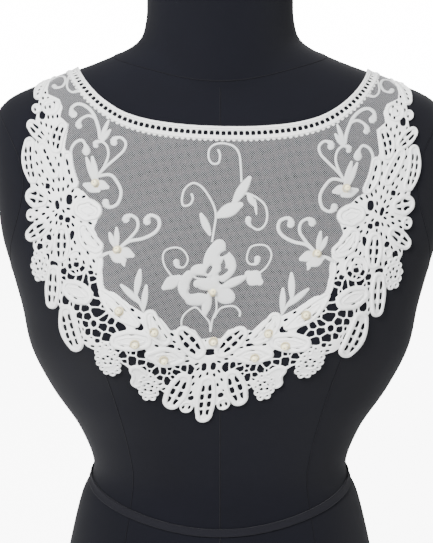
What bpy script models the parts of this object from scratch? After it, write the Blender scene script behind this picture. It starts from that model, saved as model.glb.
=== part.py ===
"""Guipure lace yoke laid on a limbless dress form.

The form is a loft through named rings. The lace is drawn flat, in millimetres, on a
pattern sheet: x across from the centre front, y up from the bust line. A flat shape is
a field of distances to petals, cords and openings, its edge is traced from that field,
and the flat plate is then draped over the form and given its wall.
"""
import math
from collections import namedtuple

import bmesh
import bpy
import numpy as np
from mathutils import Vector
from mathutils.bvhtree import BVHTree
from mathutils.geometry import delaunay_2d_cdt

MM = 0.001

# Walls and clearances, in millimetres, measured outwards from the form's surface
CLOTH_CLEARANCE = 0.8
NET_WALL = 1.0
LACE_WALL = 1.2
LACE_RELIEF = 0.9
BAND_WALL = 1.2
BAND_RELIEF = 0.7
EMBROIDERY_GAP = 0.45
EMBROIDERY_WALL = 1.1
SEAM_GAP = 0.6
TAPE_CLEARANCE = 1.0
TAPE_WALL = 1.0
TAPE_WIDTH = 6.0

# The dress form: one row for each level, from the hips to the top of the neck
Ring = namedtuple("Ring", "half_width front back z_side z_front z_back squareness")
RINGS = [
    Ring(146, 108, 116, 0, 0, 0, 2.25),
    Ring(148, 109, 118, 45, 45, 45, 2.25),
    Ring(140, 103, 112, 100, 100, 100, 2.25),
    Ring(131, 96, 101, 143, 143, 143, 2.2),
    Ring(123, 89, 90, 172, 172, 172, 2.15),
    Ring(112, 84, 81, 200, 200, 200, 2.15),
    Ring(124, 89, 86, 237, 237, 237, 2.2),
    Ring(147, 98, 93, 274, 274, 274, 2.3),
    Ring(164, 104, 100, 310, 310, 310, 2.35),
    Ring(171, 106, 105, 346, 346, 346, 2.35),
    Ring(180, 102, 107, 381, 381, 381, 2.35),
    Ring(187, 96, 107, 410, 408, 408, 2.35),
    Ring(191, 86, 105, 458, 442, 442, 2.3),
    Ring(191, 77, 99, 496, 474, 480, 2.25),
    Ring(179, 70, 90, 519, 495, 507, 2.15),
    Ring(141, 64, 79, 536, 510, 530, 2.05),
    Ring(98, 60, 70, 552, 523, 549, 2.0),
    Ring(70, 58, 64, 566, 534, 562, 2.0),
    Ring(62, 57, 62, 584, 560, 580, 2.0),
    Ring(61, 56, 61, 612, 604, 608, 2.0),
    Ring(60, 56, 60, 640, 640, 640, 2.0),
]
FORM_LEVELS = 31
FRONT_SIDES = 30
BACK_SIDES = 20
FINE_FACTOR = 4

# The bust: a soft swelling on each side of the centre front
BUST_X = 82.0
BUST_Z = 338.0
BUST_DEPTH = 22.0
BUST_SPREAD_X = 46.0
BUST_SPREAD_UP = 62.0
BUST_SPREAD_DOWN = 40.0

# The waist tape's level at the sides, its dip in front and its rise behind
TAPE_Z = 190.0
TAPE_DIP = 22.0
TAPE_RISE = 8.0
TAPE_SEGMENTS = 72
SHELL_RAYS_FROM = 260.0

# The drape: flat distances are measured from the bust line at this height
BUST_LINE_Z = 430.0
DRAPE_STEP = 3.0
DRAPE_HALF_WIDTH = 186.0
DRAPE_LOW = -190.0
DRAPE_HIGH = 190.0
NORMAL_REACH = 2

# How the yoke sits on the form: its centre line leans and its right side is lower
LEAN_OFFSET = -0.8
LEAN_SLOPE = 0.058
LEAN_CURVE_UP = -0.00025
LEAN_CURVE_DOWN = -0.00011
DROP_SLOPE = 0.020
TIP_TURN = 0.18
TIP_TURN_Y = -150.0
TIP_TURN_WIDE = 50.0
TIP_TURN_HIGH = 45.0

# The pattern sheet and the size of its steps
SHEET_HALF_WIDTH = 172
SHEET_LOW = -176
SHEET_HIGH = 158
SHEET_STEP = 1.0
FIELD_REACH = 6.0
EDGE_TOLERANCE = 0.40
SMALLEST_GAP = 3.9
THINNEST_BAR = 1.1
LACE_PITCH = 8.5
NET_PITCH = 10.0
NET_TOLERANCE = 0.25
EMBROIDERY_PITCH = 6.0

# The border's petals and leaves, one half, drawn from root to tip
Petal = namedtuple("Petal", "root_x root_y tip_x tip_y width bulge")
BORDER_PETALS = [
    Petal(150, 150, 151, 117, 14, 0), Petal(150.5, 128, 157, 93, 11, 2),
    Petal(163.5, 71, 144, 56, 13, 0), Petal(129.5, 74, 136, 46, 14, 2),
    Petal(161.5, 58, 155, 20, 14, 3), Petal(150, 55, 133, 26, 12, 0),
    Petal(126, 49, 116.5, 19, 11, 2), Petal(163, 11, 140, 8, 18, 0),
    Petal(92.5, 1, 117, 4, 19, 0), Petal(138, -10, 160.5, -24, 14, 0),
    Petal(126, -11, 125, -41, 16, 0), Petal(111, -9, 91, -31, 15, 2),
    Petal(145.5, -31, 145, -58.5, 19, 0), Petal(131, -43, 132, -79, 15, 0),
    Petal(122.5, -58, 95, -68.5, 18, 0), Petal(119.5, -74, 105, -111.5, 18, 2),
    Petal(85, -101, 73, -132.5, 21, 0), Petal(78, -100, 45.5, -97, 17, 0),
    Petal(51.5, -75, 33, -100, 14, 2), Petal(57, -119, 54, -142, 14, -3),
    Petal(46.5, -125, 45.5, -153, 19, 0), Petal(5, -110, 27, -87, 17, 0),
    Petal(17, -123, 29.5, -156, 18, 0), Petal(0, -126, 0, -168.5, 17, 0),
]
BORDER_LEAVES = [
    Petal(91, -32, 91, -50, 6, 0), Petal(91.5, -46, 87.5, -64, 5, 0),
    Petal(89.5, -60, 56, -87.5, 14, 2), Petal(50.5, -109, 18.5, -111, 17, 0),
]

# How blunt the ends are: the width there as a share of the full width
PETAL_BLUNT = 0.80
LEAF_BLUNT = 0.45

# The border's rosettes and rings, one half
Rosette = namedtuple("Rosette", "x y radius")
BORDER_ROSETTES = [
    Rosette(155.6, 83, 4.8), Rosette(142.5, 86, 8.5), Rosette(155.8, -5, 5.0),
    Rosette(127.7, 3, 15.0), Rosette(138, -28, 4.5), Rosette(110.3, -40, 10.5),
    Rosette(91.8, -87, 4.5), Rosette(14.8, -153, 5.4), Rosette(0, -106, 9.0),
    Rosette(9, -119, 9.0),
]

# The worked ground between the motifs: outer points from the shoulder to the centre
GROUND_EDGE = [
    (156, 150), (156, 118), (154.5, 92), (155, 79), (157, 63), (154, 57), (159, 38),
    (158, 19), (155, 1), (153, -10), (153, -30), (139, -57), (125, -75), (110, -95),
    (97, -106), (80, -112), (65, -120), (52, -132), (35.5, -140), (19.5, -151),
    (9.5, -153), (0, -155),
]

# The edge between border and net, from the shoulder to the centre front
INNER_EDGE = [
    (145, 150), (148, 110), (146.5, 100), (135, 94), (131.5, 86), (133, 77),
    (124.8, 71), (127.5, 52), (121.8, 38), (117, 21), (110, 17.5), (103.5, 12),
    (96, 8), (94, 0), (98.5, -12), (92, -23), (89.6, -30), (91, -36), (88.5, -46),
    (86.5, -57), (84.5, -61), (77, -62.5), (64.3, -71.5), (54.5, -76.5), (47.3, -76),
    (39, -81), (32, -89), (26, -88), (20, -86), (13, -88.5), (7.2, -95.5), (0, -94.5),
]

# The openings of the border that go right through, one half
Opening = namedtuple("Opening", "x y width height turn")
BORDER_OPENINGS = [
    Opening(149.7, 77.5, 6, 8, 0), Opening(136.8, 41, 4, 6, 25),
    Opening(141.5, 19.5, 5, 5, 0), Opening(121.2, 10, 6, 8.5, 0),
    Opening(131.7, 5, 4.2, 7.5, -15), Opening(127.6, -5, 4.5, 5, 0),
    Opening(121.6, -6.5, 5, 5, 0), Opening(137.5, -21.5, 5, 5.5, -30),
    Opening(146, -29.8, 6, 6.5, 20), Opening(117, -18.5, 4.3, 8, 12),
    Opening(138, -37, 4.2, 5.5, 0), Opening(131.5, -42.5, 8, 5, 15),
    Opening(114.3, -49.8, 6.5, 5.2, 0), Opening(107.2, -51.2, 5.8, 5.2, 0),
    Opening(101.9, -53.5, 4.2, 7.2, -8), Opening(96.2, -52.2, 5, 4.2, 0),
    Opening(92.6, -61, 5, 10, -20), Opening(118.6, -70, 7, 8, 0),
    Opening(92.2, -70.7, 8, 5.4, 8), Opening(89.6, -78, 9, 5.6, 5),
    Opening(100.6, -76, 5.4, 4.2, 0), Opening(98, -81.5, 5.4, 5.2, 20),
    Opening(99.4, -88, 4.4, 4.4, 0), Opening(83.6, -83, 5.6, 4.2, -30),
    Opening(78.4, -85.3, 5.2, 4.3, 30), Opening(84.2, -89.3, 6.6, 5.4, 0),
    Opening(76.8, -91, 5.6, 5, 20), Opening(71, -88.8, 6.6, 4.2, 25),
    Opening(89.3, -94.6, 7, 5.8, 0), Opening(80.4, -97.2, 7.2, 6, 0),
    Opening(80.2, -103.6, 7.6, 4.2, 0), Opening(105.3, -93.5, 4.2, 7, -25),
    Opening(103.2, -99.2, 4.6, 4.4, 0), Opening(116.7, -83.8, 4.2, 7, -8),
    Opening(82.6, -69, 4.2, 5.2, -35), Opening(55.4, -87.8, 5.2, 5.8, -35),
    Opening(53.2, -108.8, 6, 6.6, 0), Opening(59.6, -115.2, 6, 7.2, 0),
    Opening(50.6, -123.4, 4.6, 6.4, 0), Opening(41.2, -123, 5, 6.2, 20),
    Opening(35.2, -121.8, 4.2, 5.2, -20), Opening(24, -123, 7.4, 4.6, 25),
    Opening(31.8, -131, 5, 7, 0), Opening(31.4, -101.6, 7, 4.2, 0),
    Opening(11.9, -145, 4.8, 4.6, 0), Opening(13.6, -119.6, 4.4, 6.4, 0),
    Opening(3.7, -118.6, 4.4, 7, 0), Opening(4.2, -143.8, 4.2, 6.2, 0),
    Opening(4.2, -151.6, 4.2, 7, 0), Opening(0, -106.4, 9.5, 5.4, 0),
]

# The neck band's upper edge, one half, from the centre front to the shoulder
NECK_EDGE = [
    (0, 72.5), (25, 73.3), (50, 76), (70, 80.5), (85, 87), (99, 97.5), (109, 109),
    (116, 121), (120.5, 134), (123, 150),
]
NECK_BAND_WIDTH = 11.0
BAND_RAIL_WIDTH = 4.2
BAND_PITCH = 7.0

# The embroidery on the net, as cords (x, y, half width) and solid stitched shapes
Cord = namedtuple("Cord", "name points width end_width")
Shape = namedtuple("Shape", "name petals")
CENTRE_CORDS = [
    Cord("stem", [(-4.5, -20), (-3.5, -10), (-2.7, 0), (-4.5, 8), (-9.5, 17), (-15.5, 24),
                  (-22, 26.5), (-28, 22), (-30, 14), (-28.5, 8.5), (-23.5, 9.5),
                  (-21.5, 14), (-23, 18.5)], 2.2, 2.0),
    Cord("upper_stem", [(16, 28), (15, 40), (13.5, 50), (9.5, 56), (2.5, 58.5),
                        (-5, 58), (-10, 54), (-10.5, 47), (-7.5, 42.5), (-2.7, 43),
                        (-1.6, 49), (-3.5, 54)], 2.2, 2.0),
    Cord("side_stem", [(11.5, 14), (18.5, 19), (26.5, 17), (34.5, 11), (37.3, 3),
                       (36.3, -5), (31.3, -9.5), (25.3, -7), (22.8, -3), (23.5, 1)],
         2.2, 5.0),
    Cord("left_scroll", [(-33, -49), (-40, -40), (-42, -32), (-39.5, -27), (-32, -25),
                         (-26, -27.5), (-22.5, -34), (-25, -40), (-30, -39.5),
                         (-32, -34)], 1.8, 5.0),
    Cord("right_scroll", [(31, -46), (39, -39), (42.5, -30), (39, -23), (32, -21.5),
                          (25.5, -24), (23.5, -32), (26, -36.5), (31, -36), (32, -30)],
         1.8, 5.0),
    Cord("left_tendril", [(-24, -85), (-24, -80), (-21, -75), (-14, -71), (-7, -77),
                          (-2, -83), (-1, -90)], 1.8, 1.8),
    Cord("lower_stem", [(1, -60), (2.5, -72), (0, -80), (-1, -90)], 1.8, 1.8),
    Cord("right_tendril", [(1, -79), (5, -72), (11, -69.7), (17, -70), (21, -74),
                           (21, -78)], 1.8, 1.8),
]
CENTRE_PETALS = [
    Petal(-8, -44, 2, -18, 17, 0), Petal(8, -27, 5, -51, 9, 4),
    Petal(-22, -42, -3, -45, 12, 0), Petal(-21, -46, -22, -67, 7, -2),
    Petal(-24, -66, -6, -64, 10, 0), Petal(-15, -53, 14, -54, 13, 0),
    Petal(-5, -58, -7, -79, 8, 0), Petal(1, -59, 16, -65, 13, 0),
    Petal(9, -54, 25, -46, 7, 0), Petal(23, -43, 37, -52, 13, 0),
    Petal(-27, -47, -41, -58, 10, 0), Petal(-20, -50, -31, -49, 6, 0),
    Petal(-1, -36, -2, -56, 6, 0), Petal(-6, -15, -15, 3, 6, 0),
    Petal(-3, 0, 18, 11, 11, 0), Petal(10, 10, 23, 33, 8, 0),
    Petal(21, 19.5, 27, 9, 5, 0), Petal(27, 15, 29, 2, 2.4, 0),
]
LOWER_SPRAY_CORDS = [
    Cord("outer_hook", [(76, -27), (68, -18), (63.5, -11), (64, -4), (69, -0.5),
                        (73, -3), (71, -6)], 3.0, 6.0),
    Cord("inner_hook", [(76, -27), (69, -21.5), (59, -19), (50, -14), (46.5, -8),
                        (48, -2), (54, 0), (56.5, -4), (54, -7)], 3.4, 6.0),
]
LOWER_SPRAY_PETALS = [
    Petal(78, -27, 80, -10, 4.5, 0), Petal(80, -27, 85.5, -14.5, 4.5, 0),
    Petal(82, -30, 94, -36, 3.0, 0), Petal(84, -31, 70, -38, 10, 0),
    Petal(78, -28, 64, -33.5, 9, 0), Petal(74, -34, 71, -42, 4, 0),
]
UPPER_SPRAY_CORDS = [
    Cord("outer_scroll", [(97.5, 60), (99.5, 70), (104.5, 81), (111, 87.5), (118, 89.5),
                          (123, 85.5), (122, 80), (118, 79.5)], 3.8, 7.0),
    Cord("middle_scroll", [(102, 77), (108, 79), (114, 76), (116.5, 71), (113.5, 68.5)],
         3.0, 5.5),
    Cord("stem_curl", [(98, 30), (93, 38.5), (90.2, 47), (91.5, 54), (96, 58),
                       (101, 56.5), (100, 52.5)], 2.6, 4.5),
    Cord("inner_hook", [(97, 32), (90.5, 39), (83, 46), (77.6, 52), (76.6, 58),
                        (81, 62), (86, 60), (85.5, 55)], 2.8, 6.0),
    Cord("lower_scroll", [(98, 30), (88, 31.5), (82, 26), (78.3, 18), (80.3, 9),
                          (86, 5.5), (90, 8), (89.5, 12)], 3.2, 6.0),
    Cord("outer_arch", [(121, 42), (121.5, 50), (118, 56), (112.5, 58), (109, 53),
                        (108.5, 46)], 3.0, 7.5),
]
UPPER_SPRAY_PETALS = [
    Petal(97.5, 58, 91, 76.5, 4, 0), Petal(97, 57, 89, 68.5, 4.5, 0),
    Petal(100, 24, 108.5, 45, 5, 0), Petal(98, 24, 103.5, 46, 5.5, 0),
    Petal(110, 23, 95, 18, 8, 0), Petal(101, 25, 88, 21, 8, 0),
]
SPRIG_PETALS = [
    Petal(57, -70, 73, -56, 5, 0), Petal(60.5, -65, 58.7, -43, 5.5, 0),
    Petal(53, -77, 61, -62, 2.4, 0), Petal(54, -76, 53, -55, 5, 0),
]

FABRIC_BLACK = (0.012, 0.014, 0.020, 1.0)
TAPE_GREY = (0.030, 0.032, 0.040, 1.0)
LACE_WHITE = (0.86, 0.87, 0.84, 1.0)
NET_WHITE = (0.62, 0.62, 0.64, 1.0)
CLOTH_ROUGHNESS = 0.85


def clear_scene():
    """Remove whatever the opened file holds."""
    for thing in list(bpy.data.objects):
        bpy.data.objects.remove(thing, do_unlink=True)


def cloth_material(name, colour):
    """A rough, non-metallic finish of one colour."""
    material = bpy.data.materials.new(name)
    material.use_nodes = True
    shader = material.node_tree.nodes["Principled BSDF"]
    shader.inputs["Base Color"].default_value = colour
    shader.inputs["Roughness"].default_value = CLOTH_ROUGHNESS
    shader.inputs["Metallic"].default_value = 0.0
    return material


def add_object(name, mesh, material):
    """Link a mesh as an object with its material, shaded smooth."""
    mesh.materials.append(material)
    mesh.shade_smooth()
    mesh.set_sharp_from_angle(angle=math.radians(40))
    thing = bpy.data.objects.new(name, mesh)
    bpy.context.scene.collection.objects.link(thing)
    return thing


def smooth_rows(rows, count):
    """Values between named rows on a smooth curve, as one array row for each level."""
    table = np.array(rows, float)
    last = len(table) - 1
    slopes = np.empty_like(table)
    slopes[1:-1] = (table[2:] - table[:-2]) / 2
    slopes[0] = table[1] - table[0]
    slopes[-1] = table[-1] - table[-2]
    place = np.linspace(0, last, count)
    low = np.clip(place.astype(int), 0, last - 1)
    f = (place - low)[:, None]
    return (
        (2 * f**3 - 3 * f**2 + 1) * table[low]
        + (f**3 - 2 * f**2 + f) * slopes[low]
        + (3 * f**2 - 2 * f**3) * table[low + 1]
        + (f**3 - f**2) * slopes[low + 1]
    )


def smooth_line(points, spacing):
    """Points along a smooth curve through the given ones, about evenly spaced."""
    length = sum(math.dist(p, q) for p, q in zip(points, points[1:]))
    fine = smooth_rows(points, max(len(points) * 8, 16))
    steps = np.concatenate([[0], np.cumsum(np.hypot(*np.diff(fine, axis=0).T))])
    count = max(int(length / spacing) + 1, 3)
    along = np.linspace(0, steps[-1], count)
    return np.stack([np.interp(along, steps, fine[:, k]) for k in (0, 1)], 1)


def form_level(ring, finer):
    """The points of one level of the dress form, in millimetres."""
    width, front, back, z_side, z_front, z_back, squareness = ring
    behind = np.arange(BACK_SIDES * finer) / (BACK_SIDES * finer) * math.pi
    before = np.arange(FRONT_SIDES * finer) / (FRONT_SIDES * finer) * math.pi + math.pi
    turn = np.concatenate([behind, before])
    x = width * np.cos(turn)
    deep = np.sign(np.sin(turn)) * np.sqrt(1 - np.abs(np.cos(turn)) ** squareness)
    depth = np.sign(deep) * np.abs(deep) ** (2 / squareness)
    y = np.where(deep < 0, front, back) * depth
    z = z_side + (np.where(deep < 0, z_front, z_back) - z_side) * np.abs(deep) ** 2
    beside = sum(np.exp(-(((x - side * BUST_X) / BUST_SPREAD_X) ** 2)) for side in (-1, 1))
    spread = np.where(z > BUST_Z, BUST_SPREAD_UP, BUST_SPREAD_DOWN)
    level = np.exp(-(((z - BUST_Z) / spread) ** 2))
    y = y - BUST_DEPTH * beside * level * np.clip(-depth, 0, 1) ** 0.8
    return np.stack([x, y, z], 1)


def form_bmesh(finer=1):
    """The whole dress form as one closed body of triangles, in millimetres."""
    form = bmesh.new()
    levels = []
    for ring in smooth_rows(RINGS, (FORM_LEVELS - 1) * finer + 1):
        levels.append([form.verts.new(p) for p in form_level(ring, finer)])
    for lower, upper in zip(levels, levels[1:]):
        for k in range(len(lower)):
            after = (k + 1) % len(lower)
            form.faces.new((lower[k], lower[after], upper[after], upper[k]))
    form.faces.new(list(reversed(levels[0])))
    form.faces.new(levels[-1])
    bmesh.ops.triangulate(form, faces=form.faces[:])
    return form


def waist_tape_level(turn):
    """The height of the waist tape at a turn round the form."""
    deep = math.sin(turn)
    if deep < 0:
        return TAPE_Z - TAPE_DIP * (-deep) ** 1.5
    return TAPE_Z + TAPE_RISE * deep


def waist_tape_mesh(shell):
    """A closed tape that follows the form's surface round the waist."""
    tape = bmesh.new()
    rows = []
    for k in range(TAPE_SEGMENTS):
        turn = 2 * math.pi * k / TAPE_SEGMENTS
        way = Vector((math.cos(turn), math.sin(turn), 0))
        row = []
        for up, out in ((-0.5, 0), (-0.5, 1), (0.5, 1), (0.5, 0)):
            z = waist_tape_level(turn) + up * TAPE_WIDTH
            start = way * SHELL_RAYS_FROM + Vector((0, 0, z))
            hit = shell.from_outside(start, -way)
            row.append(tape.verts.new(hit + way * (TAPE_CLEARANCE + out * TAPE_WALL)))
        rows.append(row)
    for k in range(TAPE_SEGMENTS):
        here, after = rows[k], rows[(k + 1) % TAPE_SEGMENTS]
        for c in range(4):
            d = (c + 1) % 4
            tape.faces.new((here[c], after[c], after[d], here[d]))
    bmesh.ops.recalc_face_normals(tape, faces=tape.faces[:])
    bmesh.ops.triangulate(tape, faces=tape.faces[:])
    return finished_mesh("waist_tape", tape)


def finished_mesh(name, shape):
    """Turn a shape in millimetres into a mesh in metres."""
    bmesh.ops.scale(shape, vec=(MM, MM, MM), verts=shape.verts[:])
    mesh = bpy.data.meshes.new(name)
    shape.to_mesh(mesh)
    shape.free()
    return mesh


class Shell:
    """The form's surface: the outer one of its own facets and a finer loft."""

    def __init__(self, form, fine):
        """Keep both surfaces for casting rays."""
        self.surfaces = (BVHTree.FromBMesh(form), BVHTree.FromBMesh(fine))

    def from_inside(self, start, way):
        """The outermost place where a ray from inside leaves the form, or None."""
        hits = [surface.ray_cast(start, way) for surface in self.surfaces]
        if any(hit[0] is None for hit in hits):
            return None
        return max(hits, key=lambda hit: hit[3])[0]

    def from_outside(self, start, way):
        """The first place where a ray from outside meets the form."""
        hits = [surface.ray_cast(start, way) for surface in self.surfaces]
        return min(hits, key=lambda hit: hit[3])[0]


class Drape:
    """The map from flat cloth distances to places on the form."""

    def __init__(self, shell):
        """Follow the form's surface up and over the shoulder, column by column."""
        self.across = np.arange(-DRAPE_HALF_WIDTH, DRAPE_HALF_WIDTH + 1, DRAPE_STEP)
        self.up = np.arange(DRAPE_LOW, DRAPE_HIGH + 1, DRAPE_STEP)
        widths = np.arange(0.0, 179.0)
        depths = np.array([self.front_hit(shell, x) for x in widths])
        girth = np.concatenate([[0], np.cumsum(np.hypot(1, np.diff(depths)))])
        self.place = np.zeros((len(self.across), len(self.up), 3))
        for k, flat in enumerate(self.across):
            x = math.copysign(np.interp(abs(flat), girth, widths), flat)
            y, z = self.column(shell, x)
            self.place[k] = np.stack([np.full(len(self.up), x), y, z], 1)
        self.out = self.normals()

    @staticmethod
    def front_hit(shell, x):
        """The depth of the form's front at the bust line."""
        return shell.from_inside(Vector((x, 0, BUST_LINE_Z)), Vector((0, -1, 0))).y

    def column(self, shell, x):
        """Depth and height along one column, at even distances from the bust line."""
        points = []
        for degrees in range(-62, 205):
            turn = math.radians(degrees)
            way = Vector((0, -math.cos(turn), math.sin(turn)))
            hit = shell.from_inside(Vector((x, 0, BUST_LINE_Z)), way)
            if hit is not None:
                points.append((hit.y, hit.z))
        points = np.array(points)
        length = np.concatenate([[0], np.cumsum(np.hypot(*np.diff(points, axis=0).T))])
        length -= np.interp(BUST_LINE_Z, points[:90, 1], length[:90])
        return (np.interp(self.up, length, points[:, 0]),
                np.interp(self.up, length, points[:, 1]))

    def normals(self):
        """The outward direction at each place of the grid."""
        reach = NORMAL_REACH
        padded = np.pad(self.place, ((reach, reach), (reach, reach), (0, 0)), mode="edge")
        side = padded[2 * reach:, reach:-reach] - padded[:-2 * reach, reach:-reach]
        rise = padded[reach:-reach, 2 * reach:] - padded[reach:-reach, :-2 * reach]
        out = np.cross(side, rise)
        return out / (np.linalg.norm(out, axis=2, keepdims=True) + 1e-9)

    def at(self, flat_x, flat_y, height):
        """The place in space of a point on the cloth at a height off the form."""
        i = (flat_x + DRAPE_HALF_WIDTH) / DRAPE_STEP
        j = (flat_y - DRAPE_LOW) / DRAPE_STEP
        i0 = int(min(max(i, 0), len(self.across) - 2))
        j0 = int(min(max(j, 0), len(self.up) - 2))
        u, v = i - i0, j - j0
        weights = ((0, 0, (1 - u) * (1 - v)), (1, 0, u * (1 - v)),
                   (0, 1, (1 - u) * v), (1, 1, u * v))
        place = sum(self.place[i0 + di, j0 + dj] * w for di, dj, w in weights)
        out = sum(self.out[i0 + di, j0 + dj] * w for di, dj, w in weights)
        return Vector(place + out / np.linalg.norm(out) * height)


def on_cloth(x, y):
    """Move a point of the even pattern to where the leaning yoke carries it."""
    curve = LEAN_CURVE_UP if y > 0 else LEAN_CURVE_DOWN
    near_tip = math.exp(-((x / TIP_TURN_WIDE) ** 2 + ((y - TIP_TURN_Y) / TIP_TURN_HIGH) ** 2))
    lean = LEAN_OFFSET + LEAN_SLOPE * y + curve * y * y
    return x + lean, y - DROP_SLOPE * x + TIP_TURN * x * near_tip


class Sheet:
    """A square grid of distances on the pattern sheet, negative inside a shape."""

    def __init__(self):
        """An empty sheet: every point lies far from any shape."""
        self.xs = np.arange(-SHEET_HALF_WIDTH, SHEET_HALF_WIDTH + 0.5, SHEET_STEP)
        self.ys = np.arange(SHEET_LOW, SHEET_HIGH + 0.5, SHEET_STEP)
        self.x, self.y = np.meshgrid(self.xs, self.ys, indexing="ij")
        self.field = np.full(self.x.shape, FIELD_REACH)

    def window(self, low, high):
        """The part of the grid between two corners, with the field's reach round it."""
        i = np.searchsorted(self.xs, (low[0] - FIELD_REACH, high[0] + FIELD_REACH))
        j = np.searchsorted(self.ys, (low[1] - FIELD_REACH, high[1] + FIELD_REACH))
        return slice(*i), slice(*j)

    def add_chain(self, spine, radii):
        """Add a row of round-ended strokes whose width changes along them."""
        for p, q, rp, rq in zip(spine, spine[1:], radii, radii[1:]):
            wide = max(rp, rq)
            part = self.window((min(p[0], q[0]) - wide, min(p[1], q[1]) - wide),
                               (max(p[0], q[0]) + wide, max(p[1], q[1]) + wide))
            x, y = self.x[part], self.y[part]
            dx, dy = q[0] - p[0], q[1] - p[1]
            long = dx * dx + dy * dy + 1e-9
            t = np.clip(((x - p[0]) * dx + (y - p[1]) * dy) / long, 0, 1)
            away = np.hypot(x - p[0] - t * dx, y - p[1] - t * dy) - rp - t * (rq - rp)
            self.field[part] = np.minimum(self.field[part], away)

    def add_petal(self, petal, mirrored, blunt=LEAF_BLUNT):
        """Add a petal, and its mirror image if asked."""
        for side in (1, -1) if mirrored else (1,):
            spine, radii = petal_spine(petal, blunt)
            self.add_chain([(side * x, y) for x, y in spine], radii)

    def add_cord(self, cord, mirrored):
        """Add a stitched cord that swells towards its end, and its mirror if asked."""
        line = smooth_line(cord.points, 3.0)
        swell = np.linspace(0, 1, len(line)) ** 4
        radii = (cord.width + (cord.end_width - cord.width) * swell) / 2
        for side in (1, -1) if mirrored else (1,):
            self.add_chain([(side * x, y) for x, y in line], radii)

    def add_polygon(self, points):
        """Add a closed outline as a filled shape."""
        inside = np.zeros(self.x.shape, bool)
        away = np.full(self.x.shape, FIELD_REACH)
        for p, q in zip(points, points[1:] + points[:1]):
            crosses = (p[1] > self.y) != (q[1] > self.y)
            if p[1] != q[1]:
                cut = p[0] + (self.y - p[1]) * (q[0] - p[0]) / (q[1] - p[1])
                inside ^= crosses & (self.x < cut)
            part = self.window((min(p[0], q[0]), min(p[1], q[1])),
                               (max(p[0], q[0]), max(p[1], q[1])))
            x, y = self.x[part], self.y[part]
            dx, dy = q[0] - p[0], q[1] - p[1]
            long = dx * dx + dy * dy + 1e-9
            t = np.clip(((x - p[0]) * dx + (y - p[1]) * dy) / long, 0, 1)
            near = np.hypot(x - p[0] - t * dx, y - p[1] - t * dy)
            away[part] = np.minimum(away[part], near)
        self.field = np.minimum(self.field, np.where(inside, -away, away))

    def cut(self, other_field, margin=0.0):
        """Take another shape, grown by a margin, out of this one."""
        self.field = np.maximum(self.field, margin - other_field)

    def value(self, x, y):
        """The field at any point of the sheet."""
        i = (x - self.xs[0]) / SHEET_STEP
        j = (y - self.ys[0]) / SHEET_STEP
        i0 = int(min(max(i, 0), len(self.xs) - 2))
        j0 = int(min(max(j, 0), len(self.ys) - 2))
        u, v = i - i0, j - j0
        f = self.field
        low = f[i0, j0] * (1 - u) + f[i0 + 1, j0] * u
        high = f[i0, j0 + 1] * (1 - u) + f[i0 + 1, j0 + 1] * u
        return low * (1 - v) + high * v

    def traced(self):
        """The closed lines where the field is zero, with the shape on their left."""
        inside = self.field < 0
        follow = {}
        nx, ny = inside.shape
        mixed = (inside[:-1, :-1] ^ inside[1:, :-1]) | (inside[1:, :-1] ^ inside[1:, 1:])
        mixed |= (inside[1:, 1:] ^ inside[:-1, 1:])
        for i, j in zip(*np.nonzero(mixed)):
            corners = ((i, j), (i + 1, j), (i + 1, j + 1), (i, j + 1))
            edges = (("h", i, j), ("v", i + 1, j), ("h", i, j + 1), ("v", i, j))
            enter, leave = [], []
            for k in range(4):
                now, then = inside[corners[k]], inside[corners[(k + 1) % 4]]
                if now and not then:
                    leave.append(k)
                if then and not now:
                    enter.append(k)
            for k in leave:
                before = [e for e in enter if e < k] or enter
                follow[edges[k]] = edges[max(before)]
        loops = []
        while follow:
            first = next(iter(follow))
            loop, edge = [], first
            while True:
                loop.append(self.crossing(edge))
                edge = follow.pop(edge)
                if edge == first:
                    break
            loops.append(np.array(loop))
        return loops

    def crossing(self, edge):
        """Where the zero line crosses one edge of the grid."""
        kind, i, j = edge
        f0 = self.field[i, j]
        f1 = self.field[(i + 1, j) if kind == "h" else (i, j + 1)]
        t = f0 / (f0 - f1)
        if kind == "h":
            return self.xs[i] + t * SHEET_STEP, self.ys[j]
        return self.xs[i], self.ys[j] + t * SHEET_STEP


def petal_spine(petal, blunt, parts=6):
    """The middle line of a petal and its half widths, blunt at both ends."""
    root = np.array((petal.root_x, petal.root_y), float)
    tip = np.array((petal.tip_x, petal.tip_y), float)
    length = np.linalg.norm(tip - root)
    way = (tip - root) / length
    beside = np.array((-way[1], way[0]))
    end = blunt * petal.width / 2
    spine, radii = [], []
    for k in range(parts + 1):
        t = k / parts
        point = root + way * (end + t * (length - 2 * end))
        point = point + beside * petal.bulge * math.sin(math.pi * t)
        spine.append(tuple(point))
        radii.append(petal.width / 2 * (blunt + (1 - blunt) * math.sin(math.pi * t)))
    return spine, radii


def signed_area(loop):
    """The area inside a loop, positive where it runs anticlockwise."""
    x, y = loop[:, 0], loop[:, 1]
    return 0.5 * float(np.sum(x * np.roll(y, -1) - np.roll(x, -1) * y))


def perimeter(loop):
    """The length round a loop."""
    return float(np.sum(np.hypot(*(np.roll(loop, -1, axis=0) - loop).T)))


def straightened(points, tolerance):
    """An open line with only the points that its shape needs."""
    if len(points) < 3:
        return [tuple(p) for p in points]
    first, last = points[0], points[-1]
    way = last - first
    length = np.hypot(*way) + 1e-9
    away = np.abs(way[0] * (points[:, 1] - first[1]) - way[1] * (points[:, 0] - first[0]))
    far = int(np.argmax(away))
    if away[far] / length <= tolerance:
        return [tuple(first), tuple(last)]
    before = straightened(points[:far + 1], tolerance)
    return before[:-1] + straightened(points[far:], tolerance)


def simplified(loop, tolerance):
    """A closed loop with only the points that its shape needs."""
    half = int(np.argmax(np.hypot(*(loop - loop[0]).T)))
    there = straightened(loop[:half + 1], tolerance)
    back = straightened(np.vstack([loop[half:], loop[:1]]), tolerance)
    return np.array(there[:-1] + back[:-1])


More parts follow.
